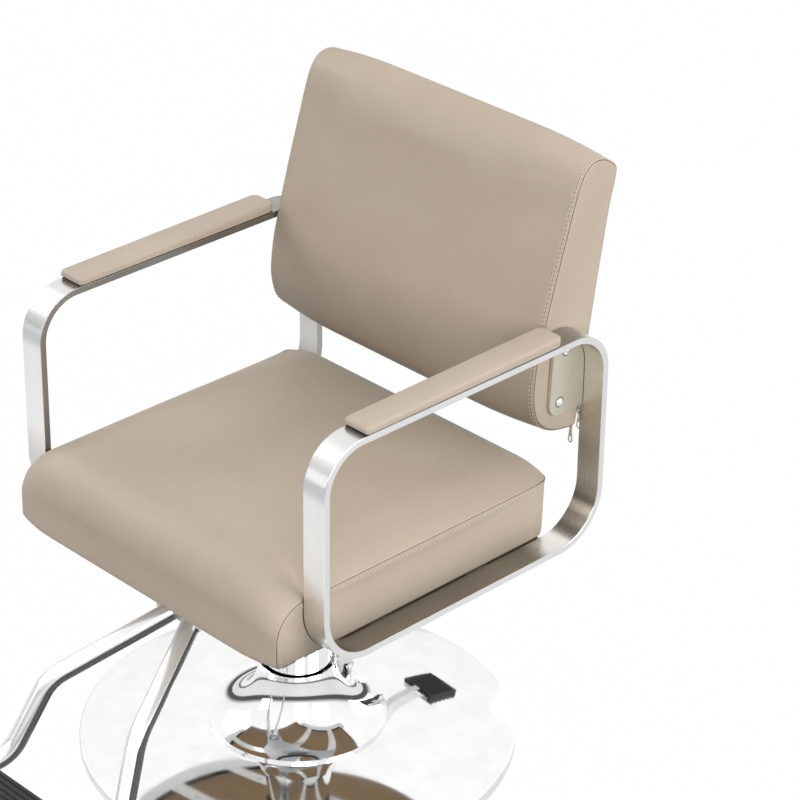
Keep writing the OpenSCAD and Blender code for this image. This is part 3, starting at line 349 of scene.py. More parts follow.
SEAM = dull("seam_shadow", (0.10, 0.07, 0.05), (0.14, 0.10, 0.07), 0.8, 2000, 0.2, 0.05)
SEAM_THREAD = dull("seam_thread", (0.045, 0.032, 0.022), (0.075, 0.055, 0.04), 0.8, 2000, 0.2, 0.05)
THREAD = dull("thread", (0.63, 0.56, 0.47), (0.74, 0.67, 0.58), 0.6, 3000)
# dark cloth under the seat, also used as painted shade along the seat's lower edge
CLOTH = woven("dust_cloth_and_shade", (0.030, 0.021, 0.014), (0.05, 0.036, 0.025), 0.05)

# Materials of the CAD nodes that stay in view; the others are zinc-plated
LOOKS = {name: mat for mat, names in (
    (RUBBER, "base_mat pedal_rubber footrest_rubber"),
    (SATIN, "pump_pedal pump_plunger footrest_plate footrest_screws"),
    (PLASTIC, "swivel_washer pad_board_left pad_board_right footrest_plugs"),
    (STAINLESS, "seat_rail_front seat_rail_rear"),
    (PLATE, "gusset_plate_left gusset_plate_right"),
    (CHROME, "gusset_screws_left gusset_screws_right"),
    (PLY, "seat_board back_core"),
    (TAPE, "zip_chain"),
    (NICKEL, "zip_slider_low zip_slider_end zip_pull_low zip_pull_end")) for name in names.split()}
for name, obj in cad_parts.items():
    mat = LOOKS.get(name, ZINC)
    if not obj.material_slots:
        obj.data.materials.append(mat)
    for slot in obj.material_slots:
        slot.material = mat


# Soft forms
def smooth(t):
    t = np.clip(t, 0, 1)
    return t * t * (3 - 2 * t)


def spline(points, counts):
    """Catmull-Rom curve through points, with counts[i] steps from point i to point i + 1."""
    p = np.array(points, float)
    p = np.vstack([2 * p[0] - p[1], p, 2 * p[-1] - p[-2]])
    out = []
    for i, n in enumerate(counts):
        a, b, c, d = p[i:i + 4]
        ta, tb, tc = (max(1e-6, np.linalg.norm(q)) ** 0.5 for q in (b - a, c - b, d - c))
        m1 = (b - a) / ta - (c - a) / (ta + tb) + (c - b) / tb
        m2 = (c - b) / tb - (d - b) / (tb + tc) + (d - c) / tc
        m1, m2 = m1 * tb, m2 * tb
        for k in range(n):
            t = k / n
            out.append((2 * t**3 - 3 * t**2 + 1) * b + (t**3 - 2 * t**2 + t) * m1
                       + (3 * t**2 - 2 * t**3) * c + (t**3 - t**2) * m2)
    out.append(p[-2])
    return np.array(out)


def unit(v):
    """The vectors of v at length 1."""
    return v / np.maximum(1e-9, np.linalg.norm(v, axis=-1, keepdims=True))


def lengths(p):
    """How far along a polyline each of its points is."""
    return np.concatenate([[0], np.cumsum(np.linalg.norm(np.diff(p, axis=0), axis=1))])


def resample(p, n):
    """n points evenly spaced along an open polyline."""
    s = lengths(p)
    t = np.linspace(0, s[-1], n)
    return np.stack([np.interp(t, s, p[:, i]) for i in range(p.shape[1])], 1)


def add_object(name, me, mat):
    me.materials.append(mat)
    me.polygons.foreach_set("use_smooth", [True] * len(me.polygons))
    o = bpy.data.objects.new(name, me)
    bpy.context.scene.collection.objects.link(o)
    return o


def mesh_object(name, verts, faces, mat):
    me = bpy.data.meshes.new(name)
    me.from_pydata([tuple(v) for v in verts], [], faces)
    me.validate()
    return add_object(name, me, mat)


def face_outwards(me, merge=0.0):
    """Turns the faces outwards, after merging points closer than merge."""
    bm = bmesh.new()
    bm.from_mesh(me)
    if merge:
        bmesh.ops.remove_doubles(bm, verts=bm.verts, dist=merge)
    bmesh.ops.recalc_face_normals(bm, faces=bm.faces)
    bm.to_mesh(me)
    bm.free()


def ring_faces(m, n, first=0):
    """Faces between m rings of n vertices, numbered from first."""
    faces = []
    for i in range(first, first + (m - 1) * n, n):
        for j in range(n):
            k = (j + 1) % n
            faces.append((i + j, i + k, i + n + k, i + n + j))
    return faces


def points_of(me):
    co = np.empty(len(me.vertices) * 3)
    me.vertices.foreach_get("co", co)
    return co.reshape(-1, 3)


def closed_form(sections, caps):
    """Vertices and faces of a closed form: sections is [columns, around, 3], caps is the rings of
    the two ends, each [ring, around, 3], going inwards, closed by a middle point."""
    m, n = sections.shape[:2]
    verts = [sections.reshape(-1, 3)]
    faces = ring_faces(m, n)
    count = m * n
    for side, rings in enumerate(caps):
        edge = 0 if side == 0 else (m - 1) * n
        prev = [edge + j for j in range(n)]
        for r in rings:
            cur = [count + j for j in range(n)]
            verts.append(r)
            count += n
            for j in range(n):
                k = (j + 1) % n
                f = (prev[k], prev[j], cur[j], cur[k])
                faces.append(f if side == 0 else f[::-1])
            prev = cur
        verts.append(rings[-1].mean(0)[None])
        for j in range(n):
            f = (prev[(j + 1) % n], prev[j], count)
            faces.append(f if side == 0 else f[::-1])
        count += 1
    return np.concatenate(verts), faces


def normals_of(outline, turn):
    """Outward normals of a closed outline. turn is 1 where it runs counter-clockwise, else -1."""
    t = unit(np.roll(outline, -1, 0) - np.roll(outline, 1, 0))
    return turn * np.stack([t[:, 1], -t[:, 0]], 1)


def inset(ring, normals, distance):
    """The ring moved inwards in its own YZ plane."""
    out = ring.copy()
    out[:, 1:] -= normals * distance
    return out


def shrink(ring, share):
    """The ring drawn in towards its middle, to a share of its size."""
    c = ring.mean(0)
    out = ring.copy()
    out[:, 1:] = c[1:] + (ring[:, 1:] - c[1:]) * share
    return out


def puff(obj, pinned, pressure, cap, frames=16):
    """Inflates obj as sewn cloth over foam. pinned is a weight for each vertex that holds it back.
    No point moves further than cap, in metres."""
    stiff = 18.0
    me = obj.data
    rest = points_of(me)
    g = obj.vertex_groups.new(name="pin")
    for i, w in enumerate(pinned):
        if w > 0:
            g.add([i], float(w), "REPLACE")
    c = obj.modifiers.new("cloth", "CLOTH")
    s = c.settings
    s.quality = 6
    s.mass = 0.25
    s.tension_stiffness = s.compression_stiffness = stiff
    s.shear_stiffness = stiff * 0.6
    s.bending_stiffness = 6.0
    s.tension_damping = s.compression_damping = 15
    s.air_damping = 3
    s.use_pressure = True
    s.uniform_pressure_force = pressure
    s.vertex_group_mass = "pin"
    s.pin_stiffness = 6.0
    s.effector_weights.gravity = 0
    c.collision_settings.use_collision = False
    c.point_cache.frame_start = 1
    c.point_cache.frame_end = frames
    scene = bpy.context.scene
    for f in range(1, frames + 1):
        scene.frame_set(f)
    deps = bpy.context.evaluated_depsgraph_get()
    move = points_of(obj.evaluated_get(deps).to_mesh()) - rest
    obj.evaluated_get(deps).to_mesh_clear()
    obj.modifiers.remove(c)
    scene.frame_set(1)
    length = np.linalg.norm(move, axis=1)
    move *= (np.minimum(length, cap) / np.maximum(length, 1e-9))[:, None]
    me.vertices.foreach_set("co", (rest + move).reshape(-1))
    me.update()


def subdivide(obj):
    s = obj.modifiers.new("subdivision", "SUBSURF")
    s.levels = s.render_levels = 1


def tube(name, path, radius, mat):
    """A thin tube along a path of 3-D points."""
    sides = 6
    p = np.array(path)
    t = unit(np.gradient(p, axis=0))
    ref = np.where(np.abs(t[:, :1]) > 0.9, [[0, 0, 1.0]], [[1.0, 0, 0]])
    a = unit(np.cross(t, ref))
    b = np.cross(t, a)
    verts = []
    for i in range(len(p)):
        for k in range(sides):
            w = 2 * math.pi * k / sides
            verts.append(p[i] + radius * (math.cos(w) * a[i] + math.sin(w) * b[i]))
    faces = ring_faces(len(p), sides)
    faces.append(tuple(range(sides))[::-1])
    faces.append(tuple((len(p) - 1) * sides + k for k in range(sides)))
    return mesh_object(name, verts, faces, mat)


def stitches(name, path, normals, mat, pitch, length, radius):
    """A row of short thread stitches along a path, laid on the surface with the given normals."""
    shape = ((0, -0.4, 0.5), (0.25, 0.5, 1), (0.75, 0.5, 1), (1, -0.4, 0.5))   # place, height, thickness
    p, n = np.array(path), np.array(normals)
    s = lengths(p)
    verts, faces = [], []
    at = pitch / 2

    def point(u):
        return (np.array([np.interp(u, s, p[:, i]) for i in range(3)]),
                np.array([np.interp(u, s, n[:, i]) for i in range(3)]))

    while at + length < s[-1]:
        ring = []
        for f, lift, fat in shape:
            c, out = point(at + length * f)
            side = unit(np.cross(out, unit(point(at + length * f + 1e-4)[0] - c)))
            base = c + out * radius * lift
            ring.append([base + side * radius * fat, base + out * radius * fat,
                         base - side * radius * fat, base - out * radius * fat])
        o = len(verts)
        for r in ring:
            verts.extend(r)
        faces += ring_faces(4, 4, o)
        faces.append((o + 3, o + 2, o + 1, o))
        faces.append((o + 12, o + 13, o + 14, o + 15))
        at += pitch
    return mesh_object(name, verts, faces, mat)


HALF = INNER - 0.4                # half the cushions' width, in mm
NEAR = [0, 1.3, 2.7, 4.4, 6.2, 8.4, 12, 17, 24, 34]       # depths of the columns nearest a side
WIDE = 12.5                       # about the step between the others


def columns():
    """The cushions' columns from one side to the other: x, and depth from the nearer side."""
    n = int(round((HALF - NEAR[-1]) / WIDE))
    d = NEAR + [NEAR[-1] + (HALF - NEAR[-1]) * i / n for i in range(1, n + 1)]
    x = [-HALF + v for v in d]
    return np.array(x + [-v for v in x[-2::-1]]), np.array(d + d[-2::-1])


COLUMN_X, COLUMN_DEPTH = columns()


def rise(d, reach, power):
    """From 0 at a side to 1 at the depth reach, steep at first."""
    return 1 - (1 - np.clip(d / reach, 0, 1)) ** power


# Seat cushion, with the steps along each stretch of its outline
SEAT_REAR, SEAT_FRONT, SEAT_LOW = 460.0, -46.0, 10.6
SEAT_CROWN_REACH, SEAT_CROWN = 72, 28.5                   # depth and height of the top's crown
SEAT_EDGE_Z, SEAM_Z, SEAM_RISE = 98.5, 94.6, 14.0         # top and rear seam at a side, the seam's rise
FRONT_R, FRONT_R_CROWN, FRONT_CROWN = 48.0, 10.0, 11.0    # the front's radius, its growth, its bulge
BOTTOM, LOW_REAR, REAR, TOP, FRONT, FACE, LOW_FRONT = 16, 4, 8, 46, 14, 4, 5
SEAM_U = BOTTOM + LOW_REAR + REAR - 1                     # index of the rear seam on a section
TOP_END = SEAM_U + TOP + FRONT + FACE + LOW_FRONT


def seat_section(d):
    """Outline of the seat at depth d from its side: bottom, rear, top, front, in mm."""
    crown = float(rise(d, SEAT_CROWN_REACH, 2.0))
    corner, r_rear, r_low, bulge = 24.0, 7, 8, 2.2
    squeeze = corner - math.sqrt(max(0.0, corner ** 2 - max(0.0, corner - d) ** 2))
    y_rear = SEAT_REAR - squeeze * 0.9 + 3.0 * (1 - float(smooth(d / 70)))
    z_seam = SEAM_Z + SEAM_RISE * float(smooth((d + 6) / 64)) + 1.5 * (1 - float(smooth(d / 40)))
    lean = 2.5 * (1 - float(smooth(d / 80)))
    y_front = SEAT_FRONT - FRONT_CROWN * crown
    z_top = SEAT_EDGE_Z + SEAT_CROWN * crown
    r_front = FRONT_R + FRONT_R_CROWN * crown
    bottom = np.stack([np.linspace(y_front + r_low, y_rear - lean - r_rear, BOTTOM),
                       np.full(BOTTOM, SEAT_LOW)], 1)
    a = np.radians(np.linspace(-75, -15, LOW_REAR))
    low_rear = np.stack([y_rear - lean - r_rear + r_rear * np.cos(a),
                         SEAT_LOW + r_rear + r_rear * np.sin(a)], 1)
    t = np.linspace(0, 1, REAR)
    rear = np.stack([y_rear - lean * (1 - t) + bulge * np.sin(math.pi * t) * min(1, d / 30),
                     SEAT_LOW + r_rear + (z_seam - SEAT_LOW - r_rear) * t], 1)
    y = y_rear + (y_front + r_front - y_rear) * (np.linspace(0, 1, TOP + 1)[1:] ** 1.35)
    edge = 1 - (1 - np.clip((y_rear - y) / 148.0, 0, 1)) ** 2.38
    slope = ((z_top - 2.8 * (1 - crown)) + (1 - crown) * (1 - y / SEAT_REAR)
             - 14.0 * crown * smooth((y - 200) / 260))
    top = np.stack([y, z_seam + (slope - z_seam) * edge], 1)
    a = np.radians(np.linspace(90, 180, FRONT + 1))[1:]
    front = np.stack([y_front + r_front + r_front * np.cos(a),
                      top[-1, 1] - r_front + r_front * np.sin(a)], 1)
    face = np.stack([np.full(FACE, y_front), np.linspace(front[-1, 1], SEAT_LOW + r_low, FACE + 2)[1:-1]], 1)
    a = np.radians(np.linspace(180, 255, LOW_FRONT))
    low_front = np.stack([y_front + r_low + r_low * np.cos(a), SEAT_LOW + r_low + r_low * np.sin(a)], 1)
    return np.vstack([bottom, low_rear, rear, top, front, face, low_front])


def section_ring(x, yz):
    return np.concatenate([np.full((len(yz), 1), x), yz], 1)


# Rings of a side panel: insets of its outline, in mm, then shares of the last inset ring, and how
# far each stands out beyond HALF
CAP_STEPS = [("in", 1.6, 0.0), ("in", 4.6, 0.15), ("in", 7.0, 0.15),
             ("share", 0.86, -0.2), ("share", 0.66, -0.9), ("share", 0.4, -1.4), ("share", 0.16, -1.5)]


def cap_rings(ring, normals, side):
    rings = []
    for kind, amount, stand_out in CAP_STEPS:
        if kind == "in":
            edge = inset(ring, normals, amount)
            step = edge.copy()
        else:
            step = shrink(edge, amount)
        step[:, 0] = side * (HALF + stand_out)
        rings.append(to_frame(step))
    return rings


def cap_index(m, n, side, ring):
    """First vertex of a ring on a side panel, on a cushion of m columns with n points round."""
    return m * n + side * (len(CAP_STEPS) * n + 1) + ring * n


def edge_hold(reach, n):
    """Pin weights that fade from 1 at the sides to 0 at the depth reach."""
    return np.repeat(np.clip(1 - COLUMN_DEPTH / reach, 0, 1)[:, None], n, axis=1)


PINCH = 1.1                       # how far the seams pull a cushion in at its sides, in mm
PRESSURE, SWELL_LIMIT = 1.2, 0.004        # inflation of a cushion, and its limit in metres


def build_cushion(name, section, normals, pin, mat):
    """A closed cushion: a section at each column, drawn in by normals at the sides, and two side
    panels. Returns it with its vertices, their normals, and its columns and points round."""
    sections = []
    for x, d in zip(COLUMN_X, COLUMN_DEPTH):
        ring = section_ring(x, section(d))
        if d == 0:
            ring = inset(ring, normals, PINCH)
            ring[:, 0] = math.copysign(HALF - PINCH, x)
        sections.append(to_frame(ring))
    caps = [cap_rings(section_ring(side * HALF, section(0)), normals, side) for side in (-1, 1)]
    verts, faces = closed_form(np.array(sections), caps)
    o = mesh_object(name, verts, faces, mat)
    face_outwards(o.data)
    m, n = len(sections), len(sections[0])
    weights = np.full(len(verts), 0.5)
    weights[:m * n] = pin(n).reshape(-1)
    for side in (0, 1):
        # the two rings beside the seam stay where they are
        first = cap_index(m, n, side, 0)
        weights[first:first + 2 * n] = 1.0
    puff(o, weights, PRESSURE, SWELL_LIMIT)
    co = points_of(o.data)
    for side in (0, 1):
        # the middle of a side panel is level, so that its fan of faces doesn't show
        first = cap_index(m, n, side, len(CAP_STEPS) - 2)
        co[first:first + 2 * n + 1, 0] = co[first:first + n, 0].mean()
    o.data.vertices.foreach_set("co", co.reshape(-1))
    o.data.update()
    nor = np.empty(len(verts) * 3)
    o.data.vertex_normals.foreach_get("vector", nor)
    return o, co, nor.reshape(-1, 3), m, n


def seat_pin(n):
    w = edge_hold(16.0, n)
    w[:, :BOTTOM + LOW_REAR] = 1.0            # the underside rests on the board
    w[:, -LOW_FRONT:] = np.maximum(w[:, -LOW_FRONT:], 0.8)
    w[:, SEAM_U] = 1.0
    w[:, SEAM_U - 1] = w[:, SEAM_U + 1] = np.maximum(w[:, SEAM_U + 1], 0.6)
    return w


seat, co, nor, m, n = build_cushion("seat_leather", seat_section, normals_of(seat_section(0), 1),
                                    seat_pin, SEAT_LEATHER)
subdivide(seat)
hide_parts("seat_cushion")
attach(seat, "seat")


def row_between(co, nor, a, b, share):
    """Points and normals between two rows of vertices."""
    return co[a] * (1 - share) + co[b] * share, nor[a] * (1 - share) + nor[b] * share


GROOVE_R = 0.00042                # in metres, as are the pitch, length and radius of the stitches
SEAM_STITCH = (0.0034, 0.0022, 0.00062)
SIDE_STITCH = (0.0064, 0.0034, 0.00055)
REAR_STITCH = (0.0058, 0.0040, 0.00058)


def sewn(name, line, normal):
    """A pulled seam: a thin dark groove with the dashes of its thread."""
    return [tube(name, resample(line, len(line)), GROOVE_R, SEAM),
            stitches(f"{name}_thread", line + normal * 0.0002, normal, SEAM_THREAD, *SEAM_STITCH)]


def topstitched(name, line, normal, stitch):
    return stitches(name, line + normal * 0.00025, normal, THREAD, *stitch)


def seam_set(prefix, co, nor, m, n, span, rows):
    """Seams on both sides over the outline indices in span, and their rows of topstitching.
    rows holds (kind, row, next row, share): rings of the side panel, or columns from the side."""
    pieces = []
    span = np.array([j % n for j in span])
    for side, tag in ((0, "right"), (1, "left")):
        index = side * (m - 1) * n + span
        pieces += sewn(f"{prefix}_seam_{tag}", co[index], nor[index])
        for k, (kind, a, b, share) in enumerate(rows):
            if kind == "cap":
                a, b = (cap_index(m, n, side, row) + span for row in (a, b))
            else:
                a, b = (abs(side * (m - 1) - row) * n + span for row in (a, b))
            line, normal = row_between(co, nor, a, b, share)
            pieces.append(topstitched(f"{prefix}_stitch_{tag}_{k}", line, normal, SIDE_STITCH))
    for p in pieces:
        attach(p, "seat")


seam_set("seat", co, nor, m, n, range(SEAM_U, TOP_END), [("cap", 1, 2, 0.85)])
index = np.arange(m) * n + SEAM_U
below = 0.3 * smooth(COLUMN_DEPTH / 18)[:, None]
joins = sewn("seat_rear_seam", *row_between(co, nor, index, index - 1, below))
index = index[2:-2]
joins.append(topstitched("seat_rear_stitch", *row_between(co, nor, index - 1, index, 0.4), REAR_STITCH))
for p in joins:
    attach(p, "seat")


# Backrest: its outline at a side, (y, z, steps to the next point), from the foot's rear round the
# front, over the top and down the rear
BACK = [
    (505.5, 163.3, 3), (498, 163.2, 3), (484, 165.2, 4), (462, 170.6, 4), (444, 180.6, 4),
    (430.4, 195.5, 4), (423.3, 214, 4), (419.9, 239, 5), (424, 282, 6), (438, 339, 7), (459, 412, 6),
    (478, 473, 5), (492.5, 518, 4), (503.5, 540, 4), (516, 550.5, 4), (530, 553.6, 4), (545, 550.2, 4),
    (558, 542.5, 4), (566, 535.2, 3), (568.6, 528, 3), (567, 515, 5), (557.8, 477.5, 5), (549, 427, 5),
    (540.4, 376, 6), (529.6, 307.5, 6), (521.5, 257, 6), (513.5, 205, 4), (509.8, 178, 3),
    (509.2, 169, 3), (508, 165, 2), (505.5, 163.3, 0),
]
BACK_LINE = spline([p[:2] for p in BACK], [p[2] for p in BACK[:-1]])[:-1]
FRONT_END = sum(p[2] for p in BACK[:19])                  # where the front panel ends, at the rear
BACK_NORMAL = normals_of(BACK_LINE, -1)
FORWARD, UPWARD = np.clip(-BACK_NORMAL[:, 0], 0, 1), np.clip(BACK_NORMAL[:, 1], 0, 1)
REARWARD, DOWNWARD = np.clip(BACK_NORMAL[:, 0], 0, 1), np.clip(-BACK_NORMAL[:, 1], 0, 1)
UP_REAR = np.sin(math.pi * np.clip((BACK_LINE[:, 1] - 163) / 390, 0, 1))
SWELL = 11.0 * FORWARD ** 1.5 + 9.5 * UPWARD ** 1.5 + 4.0 * REARWARD * UP_REAR + 3.5 * DOWNWARD


def back_section(d):
    """Outline of the backrest at depth d from its side: crowned, with a groove and a dip at the seam."""
    groove = 0.9 * float(np.exp(-(d / 2.2) ** 2)) + 0.55 * float(np.exp(-((d - 5.6) / 2.0) ** 2))
    return BACK_LINE + BACK_NORMAL * (SWELL * float(rise(d, 125, 2.1)) - groove)[:, None]


def back_pin(n):
    return np.maximum(edge_hold(14.0, n), 0.5 * DOWNWARD ** 2 + 0.35 * REARWARD)


backrest, co, nor, m, n = build_cushion("backrest_leather", back_section, BACK_NORMAL, back_pin, BACK_LEATHER)
subdivide(backrest)
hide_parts("back_cushion")
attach(backrest, "seat")
seam_set("back", co, nor, m, n, range(0, FRONT_END + 1), [("column", 2, 3, 0.45), ("column", 4, 5, 0.35)])


# Arm pads
PAD_Y0, PAD_Y1, PAD_HALF, PAD_LOW = 69.0, 430.0, 22.5, 330.15
PAD_X = 284.0                     # the middle of a pad's width, over the middle of the bar
PAD_REAR_R, PAD_FRONT_R, PAD_LEAST_R = 12.0, 8.5, 1.2
PAD_TOP, PAD_RISE, PAD_SHOULDER = 341.0, 3.0, 4.2         # height of the top's front, its rise, its edge
NOSE_REACH, NOSE_LIFT = 5.0, 3.4  # how the underside turns up at the front end
# each ring: share of the height, drop from the top, inset from the outline
PAD_RINGS = [(0, None, 3.2), (0, None, 1.4), (0.06, None, 0.5), (0.16, None, 0.0), (0.42, None, 0.0),
             (None, PAD_SHOULDER, 0.0), (None, 2.9, 0.35), (None, 1.5, 1.3), (None, 0.55, 2.7),
             (None, 0.1, 4.4), (None, -0.25, 7.0), (None, -0.6, 11.0), (None, -0.85, 15.0),
             (None, -0.95, 18.5)]


def arc(cx, cy, r, a0, a1, steps):
    """Points of an arc from a0 to a1, in degrees."""
    turns = (math.radians(a0 + (a1 - a0) * k / steps) for k in range(steps + 1))
    return [(cx + r * math.cos(a), cy + r * math.sin(a)) for a in turns]


def pad_outline(inset_by):
    """Plan of a pad, counter-clockwise, with fine steps along the sides."""
    corners = []
    for cx, cy, a0 in ((1, 1, 0), (-1, 1, 90), (-1, -1, 180), (1, -1, 270)):
        r = max(PAD_LEAST_R, (PAD_REAR_R if cy > 0 else PAD_FRONT_R) - inset_by)
        yc = PAD_Y1 - inset_by - r if cy > 0 else PAD_Y0 + inset_by + r
        corners.append(arc((PAD_HALF - inset_by - r) * cx, yc, r, a0, a0 + 90, 6))
    pts = []
    for corner, ahead, steps in zip(corners, corners[1:] + corners[:1], (4, 36, 4, 36)):
        (x0, y0), (x1, y1) = corner[-1], ahead[0]
        pts += corner + [(x0 + (x1 - x0) * k / steps, y0 + (y1 - y0) * k / steps) for k in range(1, steps)]
    return pts


def arm_pad(side, tag):
    verts, n = [], 0
    for share, drop, inset_by in PAD_RINGS:
        pts = pad_outline(inset_by)
        n = len(pts)
        for x, y in pts:
            z = PAD_TOP + PAD_RISE * (y - PAD_Y0) / (PAD_Y1 - PAD_Y0)
            if drop is None:
                nose = max(0.0, 1 - (y - PAD_Y0) / NOSE_REACH)
                z = PAD_LOW + (z - PAD_SHOULDER - PAD_LOW) * share + NOSE_LIFT * nose ** 1.6 * (1 - share)
            else:
                z -= drop
            verts.append((side * (PAD_X + x), y, z))
    faces = ring_faces(len(PAD_RINGS), n)
    # the middle strips of the underside and the top join each side to the other
    for ring in (0, len(PAD_RINGS) - 1):
        o = ring * n
        left = [j for j in range(n) if (verts[o + j][0] * side - PAD_X) > 0]
        right = sorted((j for j in range(n) if j not in left), key=lambda j: verts[o + j][1])
        left.sort(key=lambda j: verts[o + j][1])
        for q in range(len(left) - 1):
            if q + 1 < len(right):
                faces.append((o + left[q], o + left[q + 1], o + right[q + 1], o + right[q]))
    o = mesh_object(f"arm_pad_leather_{tag}", to_frame(verts), faces, PAD_LEATHER)
    face_outwards(o.data)
    w = np.zeros(len(verts))
    w[:6 * n] = 1
    w[6 * n:9 * n] = 0.6
    puff(o, w, 0.6, 0.0012, frames=10)
    subdivide(o)
    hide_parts(f"arm_pad_{tag}")
    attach(o, "seat")


SIDES = ((1, "left"), (-1, "right"))
for side, tag in SIDES:
    arm_pad(side, tag)


# Swept and turned metal
def grid_object(name, rows, mat, close_u=False, close_v=False, u=None, v=None, sharp=None, extra=()):
    """A surface through rows of points, in metres, with a map that follows u and v.
    extra holds more (rows, close_u, close_v) parts of the same piece."""
    verts, faces, uvs = [], [], []
    for part, cu, cv in ((rows, close_u, close_v), *extra):
        part = np.array(part, float)
        m, n = part.shape[:2]
        o = len(verts)
        verts.extend(part.reshape(-1, 3))
        for i in range(m if cu else m - 1):
            for j in range(n if cv else n - 1):
                a, b = (i + 1) % m, (j + 1) % n
                faces.append((o + i * n + j, o + i * n + b, o + a * n + b, o + a * n + j))
                if u is not None:
                    uvs += [u[i], v[j], u[i], v[j + 1], u[i + 1], v[j + 1], u[i + 1], v[j]]
    me = bpy.data.meshes.new(name)
    me.from_pydata([tuple(q) for q in verts], [], faces)
    if u is not None:
        me.uv_layers.new(name="map").data.foreach_set("uv", uvs)
    face_outwards(me, 1e-6)
    o = add_object(name, me, mat)
    if sharp:
        me.set_sharp_from_angle(angle=math.radians(sharp))
    return o


def dress(obj, body, slot, *nodes):
    if nodes:
        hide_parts(*nodes)
    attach(obj, body)


# Arm loops
DEPTH, HEIGHT, R_TOP, R_LOW = 524.0, 328.0, 67.0, 80.0
BAR_W, BAR_T, FILLET = 40.0, 10.0, 0.9


def loop_stations():
    """Outer outline of an arm loop: points (y, z) and outward normals."""
    pts, normals = [], []
    for cy, cz, r, a0 in ((DEPTH - R_LOW, R_LOW, R_LOW, -90), (DEPTH - R_TOP, HEIGHT - R_TOP, R_TOP, 0),
                          (R_TOP, HEIGHT - R_TOP, R_TOP, 90), (R_LOW, R_LOW, R_LOW, 180)):
        for k in range(25):
            a = math.radians(a0 + 90 * k / 24)
            pts.append((cy + r * math.cos(a), cz + r * math.sin(a)))
            normals.append((math.cos(a), math.sin(a)))
    return np.array(pts), np.array(normals)


def bar_ring():
    """Section of the flat bar: (offset across, offset inwards), with eased corners."""
    ring = []
    f, flat = FILLET, 0.7         # flat is the stretch of face next to a corner
    for cx, cn, a0 in ((BAR_W - f, -f, 90), (BAR_W - f, -BAR_T + f, 0), (f, -BAR_T + f, -90), (f, -f, -180)):
        corner = arc(cx, cn, f, a0, a0 - 90, 3)
        a, b = math.radians(a0), math.radians(a0 - 90)
        ring.append((corner[0][0] - flat * math.sin(a), corner[0][1] + flat * math.cos(a)))
        ring += corner
        ring.append((corner[-1][0] + flat * math.sin(b), corner[-1][1] - flat * math.cos(b)))
    return np.array(ring)


def arm_loop(side, tag):
    pts, normals = loop_stations()
    ring = bar_ring()
    rows = to_frame([[(side * (INNER + x), p[0] + n[0] * t, p[1] + n[1] * t) for x, t in ring]
                     for p, n in zip(pts, normals)])
    along, round_it = (lengths(np.vstack([p, p[:1]])) * MM for p in (pts, ring))
    o = grid_object(f"arm_loop_bar_{tag}", rows, BAR, True, True, along, round_it)
    dress(o, "seat", "brushed_stainless", f"arm_loop_{tag}")


# Footrest tubes, in mm and degrees
LEG_START = (15.0, 30.0, -51.2)
LEG_RUNS = ((-23.1, 185.0), (-62.0, 80.0), (0.0, 96.0))   # slope and length of each straight run
LEG_SPLAY, LEG_BEND, LEG_STEPS = 24.5, 60.0, 12
LEG_R, BORE_R, BORE_DEPTH = 14.0, 12.0, 14.0


def foot_leg(side, tag):
    """Bent tube from under the seat to the tread, with the start of its bore at the tread's end."""
    at, head = np.zeros(2), math.radians(LEG_RUNS[0][0])
    line = [(at, head)]
    for slope, run in LEG_RUNS:
        slope = math.radians(slope)
        if slope != head:
            turn = LEG_BEND if slope > head else -LEG_BEND
            centre = at + turn * np.array([-math.sin(head), math.cos(head)])
            for k in range(1, LEG_STEPS + 1):
                h = head + (slope - head) * k / LEG_STEPS
                line.append((centre - turn * np.array([-math.sin(h), math.cos(h)]), h))
            at, head = line[-1][0], slope
        at = at + run * np.array([math.cos(head), math.sin(head)])
        line.append((at, head))
    radii = [LEG_R] * len(line) + [BORE_R] * 2
    line += [(at, head), (at - BORE_DEPTH * np.array([math.cos(head), math.sin(head)]), head)]
    splay = math.radians(LEG_SPLAY - 90)
    out = np.array([math.cos(splay), math.sin(splay)])
    across = np.array([-out[1], out[0], 0.0])
    rows = []
    for (p, h), r in zip(line, radii):
        centre = LEG_START + np.array([*(p[0] * out), p[1]])
        normal = np.array([*(-math.sin(h) * out), math.cos(h)])
        rows.append([centre + r * (math.cos(w) * normal + math.sin(w) * across)
                     for w in np.linspace(0, 2 * math.pi, 49)[:-1]])
    o = grid_object(f"footrest_tube_{tag}", to_frame(rows) * (side, 1, 1), TUBE, False, True, sharp=40)
    dress(o, "seat", "chrome", f"footrest_leg_{tag}")


for side, tag in SIDES:
    arm_loop(side, tag)
    foot_leg(side, tag)


# Turned pieces about the column's axis, in mm above the floor
def turned(profile, count, closed=True, y=0):
    """Rows of a turned piece from (radius, height) points, about the vertical axis at y."""
    rows = [[(r * math.cos(a) * MM, (y + r * math.sin(a)) * MM, z * MM)
             for a in np.linspace(0, 2 * math.pi, count + 1)[:-1]]
            for r, z in ((max(r, 0.001), z) for r, z in profile)]
    return rows, closed, True


def dome(first, last, steps, down):
    """The base's crown, from one radius to another."""
    return [(r, 15.0 + 21.0 * (1 - max(0.0, (r - 142.0) / 171.0) ** 2) - down)
            for r in np.linspace(first, last, steps)]


# Base cover
cover = ([(313, 1.5), (315, 1.5)] + arc(313, 13, 2, 0, 90, 5) + dome(310, 142, 30, 0)
         + arc(119.4, 34.6, 1.4, 90, 180, 3) + [(118, 34)] + dome(142, 299, 24, 2) + [(299, 13), (313, 13)])
rows, cu, cv = turned(cover, 200)
dress(grid_object("base_cover_dome", rows, CHROME, cu, cv, sharp=50), "base", "chrome", "base_cover")

